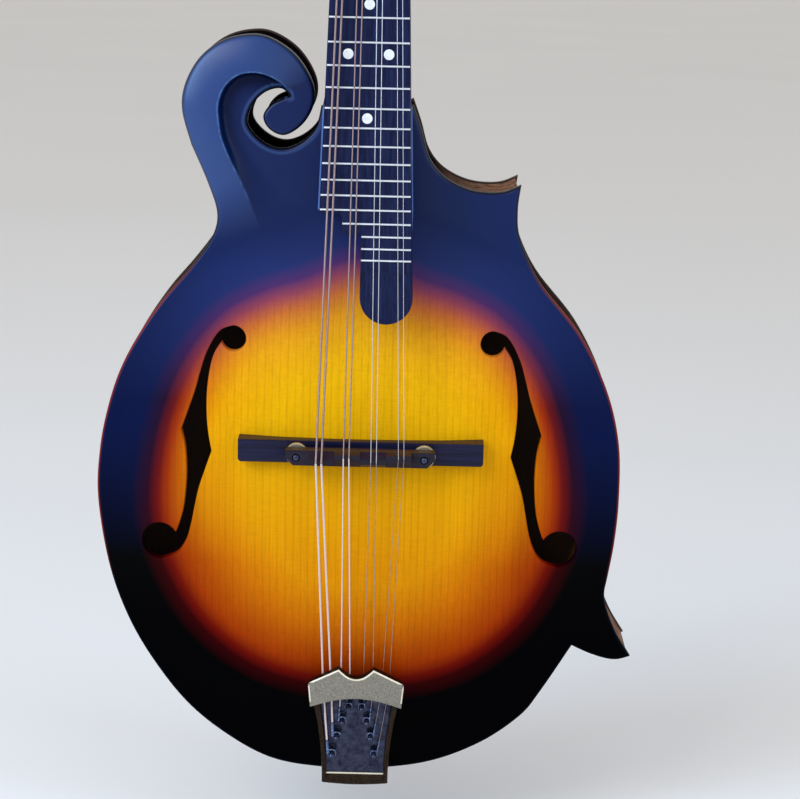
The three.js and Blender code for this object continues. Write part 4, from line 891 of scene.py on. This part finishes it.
def fingerboard():
    """The board, which steps down into a scoop under its last frets."""
    outline = board_outline()
    xy, faces = sheet(outline, rings=(0.15, 0.5), creases=[
        np.array([(-1.6, y), (half_width(y) - 0.2, y)])
        for y in np.linspace(SCOOP_START + 2.5, SCOOP_START - 2.5, 9)
    ])
    edge = nearest(xy, outline)[0]
    fall = unit((SCOOP_START + 2 - xy[:, 1]) / 4)
    upper = BOARD_THICKNESS - SCOOP_DEPTH * fall * fall * (3 - 2 * fall) - rounded(edge, 0.5)
    make("fingerboard_form", shell(xy, faces, upper, 0), BOARD_EBONY, NECK, node="fingerboard")


def fret(number):
    """A crowned wire with bevelled ends, across the board or its tongue."""
    y = fret_y(number)
    right = half_width(y) - 0.25
    left = {21: -10.5, 22: -1.6, 23: -1.6, 24: -1.6}.get(number, -right)
    profile = arc((0, 0.05), (0.47, 0.95), 0, 180, 9)
    stations = [
        (left, 0.15), (left + 0.25, 0.7), (left + 0.6, 1),
        (right - 0.6, 1), (right - 0.25, 0.7), (right, 0.15),
    ]
    points = [(x, y + a, BOARD_THICKNESS + b * tall) for x, tall in stations for a, b in profile]
    faces = strips(len(stations), len(profile)) + caps(points, len(profile))
    make(f"fret_{number:02d}", (points, faces), NICKEL, NECK)


def dots():
    disc = turned([(0, -0.3), (2.4, -0.3), (2.4, 0.02), (2.3, 0.08), (0, 0.1)])
    for number in (3, 5, 7, 10, 12, 15):
        y = (fret_y(number) + fret_y(number - 1)) / 2
        for i, x in enumerate((-9.3, 9.3) if number == 12 else (0,)):
            make(f"dot_{number}_{i}", shifted(disc, x, y, BOARD_THICKNESS), PEARL, NECK)


fingerboard()
for fret_number in range(1, 25):
    fret(fret_number)
dots()
refine("fingerboard_riser", RISER_WOOD, 0.2)
refine("neck", NECK_MAPLE, 0.6, crease=40)
refine("nut", BONE)
refine("headstock_veneer", HEAD_EBONY)
refine("truss_rod_cover", HEAD_EBONY, 0.4)
refine("truss_rod", DARK_STEEL, 0)
refine("truss_rod_nut", BRASS, 0.2, "rod_nut")

# The tuners' buttons are ovals that are turned onto their worms' shafts
BUTTON_REACH, BUTTON_HALVES = 23.4, (6.4, 3.3, 5.4)
TURNED_ON = Matrix(((0, 0, 1, 0), (1, 0, 0, 0), (0, 1, 0, 0), (0, 0, 0, 1)))
POSTS = [
    (side, row, side * POST_SPREAD, POST_START + POST_SPACING * row) for side in (-1, 1) for row in range(4)
]
ball, ball_faces = turned([(math.sin(a), -math.cos(a)) for a in np.linspace(0, math.pi, 25)], 40)
bushing, bushing_faces = turned([(3.25, 1.5), (4.6, 1.5), (4.6, 2.5), (4.2, 2.9), (3.25, 2.9), (3.25, 1.5)])
for side, row, x, y in POSTS:
    label = f"{'bass' if side < 0 else 'treble'}_{row + 1}"
    make(f"bushing_{label}", shifted((bushing, bushing_faces[:-2]), x, y, 0.4), AGED_NICKEL, HEAD)
    refine(f"tuner_post_{label}", AGED_NICKEL, 0.12, f"post_{label}")
    refine(f"tuner_worm_{label}", AGED_NICKEL, 0.12, f"worm_{label}")
    shaft = HEAD @ Matrix.Translation((x + side * BUTTON_REACH, y - WORM_OFFSET, GEAR_MIDDLE)) @ TURNED_ON
    oval = (ball * BUTTON_HALVES, ball_faces)
    make(f"tuner_button_{label}", oval, BUTTON, shaft, f"worm_{label}", crease=60)
for label in ("bass", "treble"):
    refine(f"tuner_plate_{label}", CAST_DARK, 0.2)


# ---------------------------------------------------------------- bridge

WHEEL_RIDGES, WHEEL_BORE = 44, 1.9
THREAD_PITCH = 0.8

refine("bridge_base", BASE_EBONY, 1.1, corners=1.9)
refine("bridge_saddle", SADDLE_EBONY, 0.45, "saddle")


def thumbwheel(side, label):
    """A ridged wheel with bevelled edges and a bore."""
    turns = np.linspace(0, 2 * math.pi, WHEEL_RIDGES * 4, endpoint=False)
    count = len(turns)
    reach = WHEEL_RADIUS - 0.14 * (1 - np.cos(turns * WHEEL_RIDGES))
    rings = [(0.93, 0), (1, 0.35), (1, WHEEL_THICKNESS - 0.35), (0.93, WHEEL_THICKNESS)]
    points = [(r * s * math.cos(a), r * s * math.sin(a), z) for s, z in rings for r, a in zip(reach, turns)]
    faces = strips(len(rings), count)
    base = len(points)
    bore = [(WHEEL_BORE * math.cos(a), WHEEL_BORE * math.sin(a)) for a in turns]
    points += [(x, y, z) for z in (0, WHEEL_THICKNESS) for x, y in bore]
    for i in range(count):
        j = (i + 1) % count
        faces.append((base + j, base + i, base + count + i, base + count + j))
        faces.append((j, i, base + i, base + j))
        faces.append((3 * count + i, 3 * count + j, base + count + j, base + count + i))
    form = shifted((points, faces), side * BRIDGE_POST_SPREAD, SADDLE_Y, WHEEL_LEVEL)
    make(f"thumbwheel_{label}_form", form, BRASS, body=f"wheel_{label}", node=f"thumbwheel_{label}")


def bridge_post(side, label):
    """A threaded post, with its thread as a row of ridges round the shaft."""
    profile = [(0, 16.6), (1.35, 16.6)]
    height = 17.0
    while height < 31.4:
        profile += [(1.6, height), (1.38, height + THREAD_PITCH / 2)]
        height += THREAD_PITCH
    profile += [(1.5, 31.6), (1.2, 32), (0, 32)]
    form = shifted(turned(profile, 20), side * BRIDGE_POST_SPREAD, SADDLE_Y, 0)
    make(f"bridge_post_{label}_form", form, DARK_STEEL, node=f"bridge_post_{label}", crease=60)


for label, side in (("bass", -1), ("treble", 1)):
    thumbwheel(side, label)
    bridge_post(side, label)


# ---------------------------------------------------------------- tailpiece

HOOKS = [(x * TRAY_WIDTH / 2, y * CROWN_PLACE) for x, y in (
    (-0.7, 0.32), (-0.56, 0.56), (-0.4, 0.77), (-0.22, 0.96),
    (0.18, 0.96), (0.33, 0.77), (0.45, 0.56), (0.57, 0.32),
)]
TRAY_MOUTH = 20.5
LIP_HALF = 16.3
BEVEL_WIDTH = 0.7

# The crown's left side, the dip between its peaks and its lower edge, in shares of half its width and depth
CROWN_SIDE = [(-0.96, 0.14), (-0.97, 0.26), (-0.98, 0.4), (-0.992, 0.53), (-0.99, 0.59), (-0.97, 0.63)]
CROWN_DIP = [(0.36, 1), (0.27, 0.9), (0.15, 0.8), (0, 0.76), (-0.15, 0.8), (-0.27, 0.9), (-0.36, 1)]
CROWN_ARCH = [(-0.95, 0), (-0.6, 0.14), (-0.3, 0.22), (0, 0.25), (0.3, 0.22), (0.6, 0.14), (0.95, 0)]


def crown():
    """The crown: a cast plate with a bright bevel along its double-peaked upper edge and dark walls."""
    def spots(shares):
        return np.array([(x * CROWN_WIDTH / 2, CROWN_PLACE + y * CROWN_DEPTH) for x, y in shares])

    shoulder, peak = spots([(-0.94, 0.655), (-0.36, 1)])
    left = np.vstack([spots(CROWN_SIDE), shoulder + (peak - shoulder) * np.linspace(0, 1, 14)[1:-1, None]])
    upper = np.vstack([left, spline(spots(CROWN_DIP), 3)[::-1], (left * (-1, 1))[::-1]])
    outline = chain([np.vstack([upper, spline(spots(CROWN_ARCH), 3)[::-1], upper[:1]])])
    xy, faces = sheet(outline, rings=(0.25, 0.7, 1.3), spacing=2.2)
    edge = nearest(xy, outline)[0]
    near_top = nearest(xy, upper, closed=False)[0] < edge + 0.01
    bow = 0.9 * (1 - (xy[:, 0] / 24) ** 2)
    fall = np.where(near_top, 0.55 * np.clip(BEVEL_WIDTH - edge, 0, BEVEL_WIDTH), rounded(edge, 0.8))
    form = shell(xy, faces, 10.1 + bow - fall, 6.6)
    piece = make("tailpiece_crown", form, CAST, TAIL, node="tailpiece", crease=20)
    piece.data.materials.append(CAST_EDGE)
    piece.data.materials.append(CAST_DARK)
    bevel = np.tile(near_top & (edge < BEVEL_WIDTH + 0.02), 2)
    count = len(faces)
    for number, face in enumerate(piece.data.polygons):
        if number < count and all(bevel[i] for i in face.vertices):
            face.material_index = 1
        elif number >= 2 * count:
            face.material_index = 2


def tray():
    """The tray with its side rails, which draw in toward the rounded lip at the tail."""
    ys = np.linspace(-3.5, 48.5, 27)
    edge_x = TRAY_WIDTH / 2 + (TRAY_MOUTH - TRAY_WIDTH / 2) * unit(ys / CROWN_PLACE) ** 1.6
    right = np.column_stack([edge_x - 1.2, ys])
    xy, faces = sheet(chain([np.vstack([right, (right * (-1, 1))[::-1], right[:1]])]), spacing=1.5)
    lift = 1.1 * unit((5.5 - xy[:, 1]) / 9) ** 2
    make("tailpiece_tray", shell(xy, faces, 1.8 + lift, lift), TRAY, TAIL)
    outer = np.column_stack([edge_x, ys])
    inner = np.column_stack([edge_x - 2.2 - 0.8 * unit(ys / 40), ys])
    for name, side in (("bass", -1), ("treble", 1)):
        loop = chain([np.vstack([outer, inner[::-1], outer[:1]]) * (side, 1)])
        xy, faces = sheet(loop, rings=(0.25, 0.7))
        tall = 4.4 + 3.0 * unit((xy[:, 1] - 30) / 8)
        form = shell(xy, faces, tall - rounded(nearest(xy, loop)[0], 0.7), -0.2)
        make(f"tailpiece_rail_{name}", form, CAST_DARK, TAIL)
    across = np.linspace(-1, 1, 15)
    lip = [(x * LIP_HALF, -5.1 - 0.9 * math.cos(x * math.pi / 2)) for x in across]
    lip = chain([np.array([*lip, (LIP_HALF, 0.2), (-LIP_HALF, 0.2), lip[0]])])
    make("tailpiece_lip", slab(lip, -2.4, 3.2, 1.5, spacing=2), CAST_DARK, TAIL)
    bead = [(x * 14.4, 0.75, 2.7) for x in across]
    make("tailpiece_bead", tube(bead, 0.5), CAST_EDGE, TAIL, crease=60)


def apron():
    """The tailpiece's end wall, which is screwed to the rim over the strap button's place."""
    half = TRAY_WIDTH / 2
    outline = np.array([(-half, -27.6), (half, -27.6), (half, 3.2), (-half, 3.2)])
    hole = arc((0, PIN_LEVEL), 3.5, 0, 360, 32, closed=True)
    make("tailpiece_apron", slab(outline, 0, 2.4, 0.5, [hole]), CAST_DARK, END_WALL)


def hook(index, x, y):
    """A prong that leans toward the tail, with a rounded tip."""
    path = spline([(x, y, 1), (x, y, 3.4), (x, y - 0.3, 5), (x, y - 1.1, 5.9), (x, y - 1.9, 6.1)], 4)
    radii = np.full(len(path), HOOK_RADIUS)
    radii[-7:] = (1.2, 1.35, 1.45, 1.45, 1.3, 1.0, 0.55)
    make(f"tailpiece_hook_{index + 1}", tube(path, radii, 12), DARK_STEEL, TAIL, crease=60)


crown()
tray()
apron()
for index, (x, y) in enumerate(HOOKS):
    hook(index, x, y)
for number in (1, 2):
    refine(f"tailpiece_screw_{number}", NICKEL, 0.15)
pin = [
    (0, -13), (3.2, -13), (3.2, 0), (4.9, 0), (4.2, 1.2), (3.5, 3.5), (4, 5.6),
    (5.2, 7), (6.2, 8.2), (6.5, 9), (6.2, 10), (5.2, 10.8), (0, 11),
]
make("strap_button_form", turned(pin, 48), HEAD_EBONY, PIN, node="strap_button", crease=50)


# ---------------------------------------------------------------- strings

# For each string its place along the crown's spread and its post, and for each pair its crest's setback
CROWN_SHARES = (-1, -0.757, -0.46, -0.186, 0.21, 0.508, 0.78, 1)
POST_ORDER = (0, 1, 2, 3, 7, 6, 5, 4)
CREST_SETBACKS = (-0.3, 0.28, -0.12, 0.3)
WINDING_TOP, WINDING_TURNS = 8.6, 3
TWIST_LENGTH = 7.5


def pair_place(index, spread, gap):
    return spread * ((index // 2) / 3 - 0.5) + (index % 2 - 0.5) * gap


def carried(axes, *spots):
    """Points in the body's axes from points in others."""
    return [np.array(axes @ Vector(s)) for s in spots]


def between(start, end, count):
    """Evenly spaced points from one point to another."""
    return [start + (end - start) * t for t in np.linspace(0, 1, count)]


def make_string(index):
    """A string in five pieces: tail part, speaking part, winding at the post, loop at the hook and twist."""
    name, radius = STRING_NAMES[index], STRING_RADII[index]
    # The tail part takes a copy of its metal painted lighter (wound strings) or darker (plain ones): painted
    # light and shade.
    finish, tail_painted_finish = (WOUND, WOUND_LIT) if index < 4 else (STEEL, STEEL_SHADED)
    hook_x, hook_y = HOOKS[index]
    level = STRING_LIFT + radius
    loop_radius = HOOK_RADIUS + radius + SEAM
    start, under = carried(
        TAIL, (hook_x + math.copysign(loop_radius, hook_x), hook_y, level),
        (CROWN_SHARES[index] * CROWN_SPREAD, CROWN_PLACE + CROWN_PASS, level),
    )
    crest = np.array([
        pair_place(index, SADDLE_SPREAD, SADDLE_PAIR_GAP),
        SADDLE_Y + CREST_SETBACKS[index // 2] * SADDLE_DEPTH, SADDLE_TOP + SEAM + radius,
    ])
    over_nut = BOARD_THICKNESS + NUT_HEIGHT + SEAM + radius
    nut = carried(NECK, (pair_place(index, NUT_SPREAD, NUT_PAIR_GAP), 0, over_nut))[0]
    tail_path = [start, *between(under, crest, 24)]
    tail_part = make(f"string_{name}_tail", tube(tail_path, radius), tail_painted_finish, body=None, crease=60)
    form = tube(between(crest, nut, 40), radius)
    speaking = make(
        f"string_{name}_speaking", form, finish, body=None, node=f"string_{name}", crease=60)
    side, _, x, y = POSTS[POST_ORDER[index]]
    coil = POST_RADIUS + radius + 0.15
    pitch = 2 * radius + 0.1
    wraps = carried(HEAD, *[
        (x - side * coil * math.cos(a), y + coil * math.sin(a), WINDING_TOP - pitch * a / (2 * math.pi))
        for a in np.linspace(0, 2 * math.pi * WINDING_TURNS, 90)
    ])
    head_path = [*between(nut, wraps[0], 6)[:-1], *wraps]
    make(f"string_{name}_head", tube(head_path, radius), finish, crease=60)
    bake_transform(speaking)
    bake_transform(tail_part)
    ring = [(*spot, level) for spot in arc((hook_x, hook_y), loop_radius, 0, 360, 24, closed=True)]
    loop = tube(ring, max(0.42, radius * 0.9), 8, closed=True)
    make(f"string_{name}_loop", loop, LOOP_STEEL, TAIL, crease=60)
    twist_end = start + (under - start) / np.linalg.norm(under - start) * TWIST_LENGTH
    swell = 0.3 + radius * 0.8 + 0.12 * np.sin(np.linspace(0, 28 * math.pi, 60))
    swell[-6:] = np.linspace(swell[-6], radius * 1.05, 6)
    make(f"string_{name}_twist", tube(between(start, twist_end, 60), swell), LOOP_STEEL, crease=60)


for string_index in range(8):
    make_string(string_index)


# ---------------------------------------------------------------- stage, light and camera

FLOOR_COLOUR = (0.84, 0.815, 0.79, 1)
FLOOR_LEVEL = -0.56
FLOOR_SIZE = 60
SKY_STRENGTH = 0.66
LENS, SENSOR = 103.5, 36
CAMERA_TARGET = (0.018, 0, -0.336)
CAMERA_DISTANCE = 1.1
CAMERA_PITCH, CAMERA_ROLL = 12.8, 1.367


def floor():
    """A large plain sheet, in cells of four by four."""
    f = Finish("floor", Roughness=0.9)
    light = tuple(min(1, c * 1.02) for c in FLOOR_COLOUR)
    f.set("Base Color", f.fade(f.noise(0.002, detail=1), FLOOR_COLOUR, light))
    mesh = bpy.data.meshes.new("floor")
    marks = np.linspace(-FLOOR_SIZE / 2, FLOOR_SIZE / 2, 5)
    faces = [(r * 5 + c, r * 5 + c + 1, r * 5 + c + 6, r * 5 + c + 5) for r in range(4) for c in range(4)]
    mesh.from_pydata([(x, y, FLOOR_LEVEL) for y in marks for x in marks], [], faces)
    mesh.materials.append(f.material)
    piece = bpy.data.objects.new("floor", mesh)
    bpy.context.collection.objects.link(piece)


def area_light(name, spot, target, size, power, colour):
    data = bpy.data.lights.new(name, "AREA")
    data.shape = "RECTANGLE"
    data.size, data.size_y = size
    data.energy = power
    data.color = colour
    light = bpy.data.objects.new(name, data)
    light.location = spot
    light.rotation_euler = (Vector(target) - Vector(spot)).to_track_quat("-Z", "Y").to_euler()
    bpy.context.collection.objects.link(light)


def camera():
    """The photo's camera: above the face's normal, and rolled a little."""
    data = bpy.data.cameras.new("camera")
    data.sensor_width = SENSOR
    data.lens = LENS
    data.clip_end = 100
    eye = bpy.data.objects.new("camera", data)
    target = Vector(CAMERA_TARGET)
    pitch = math.radians(CAMERA_PITCH)
    spot = target + CAMERA_DISTANCE * Vector((0, -math.cos(pitch), math.sin(pitch)))
    look = (target - spot).to_track_quat("-Z", "Y").to_matrix().to_4x4()
    roll = Matrix.Rotation(math.radians(CAMERA_ROLL), 4, "Z")
    eye.matrix_world = Matrix.Translation(spot) @ look @ roll
    bpy.context.collection.objects.link(eye)
    bpy.context.scene.camera = eye


floor()

sky = bpy.data.worlds.new("studio")
sky.use_nodes = True
sky.node_tree.nodes["Background"].inputs["Color"].default_value = (1, 1, 1, 1)
sky.node_tree.nodes["Background"].inputs["Strength"].default_value = SKY_STRENGTH
bpy.context.scene.world = sky
area_light("key", (-0.9, -1.3, 0.9), (0, 0, -0.32), (0.9, 0.9), 9, (1, 0.98, 0.95))
area_light("fill", (1.1, -1.4, 0.1), (0, 0, -0.34), (1.2, 1.2), 2, (0.95, 0.97, 1))
area_light("sheen", (-1.3, -0.85, 0.36), (-0.07, 0, -0.2), (0.6, 1.1), 20, (0.44, 0.68, 1))
area_light("sheen_right", (1.3, -0.7, 0.4), (0.05, 0, -0.2), (0.5, 1.0), 8, (0.44, 0.68, 1))
camera()
bpy.context.scene.view_settings.view_transform = "Standard"
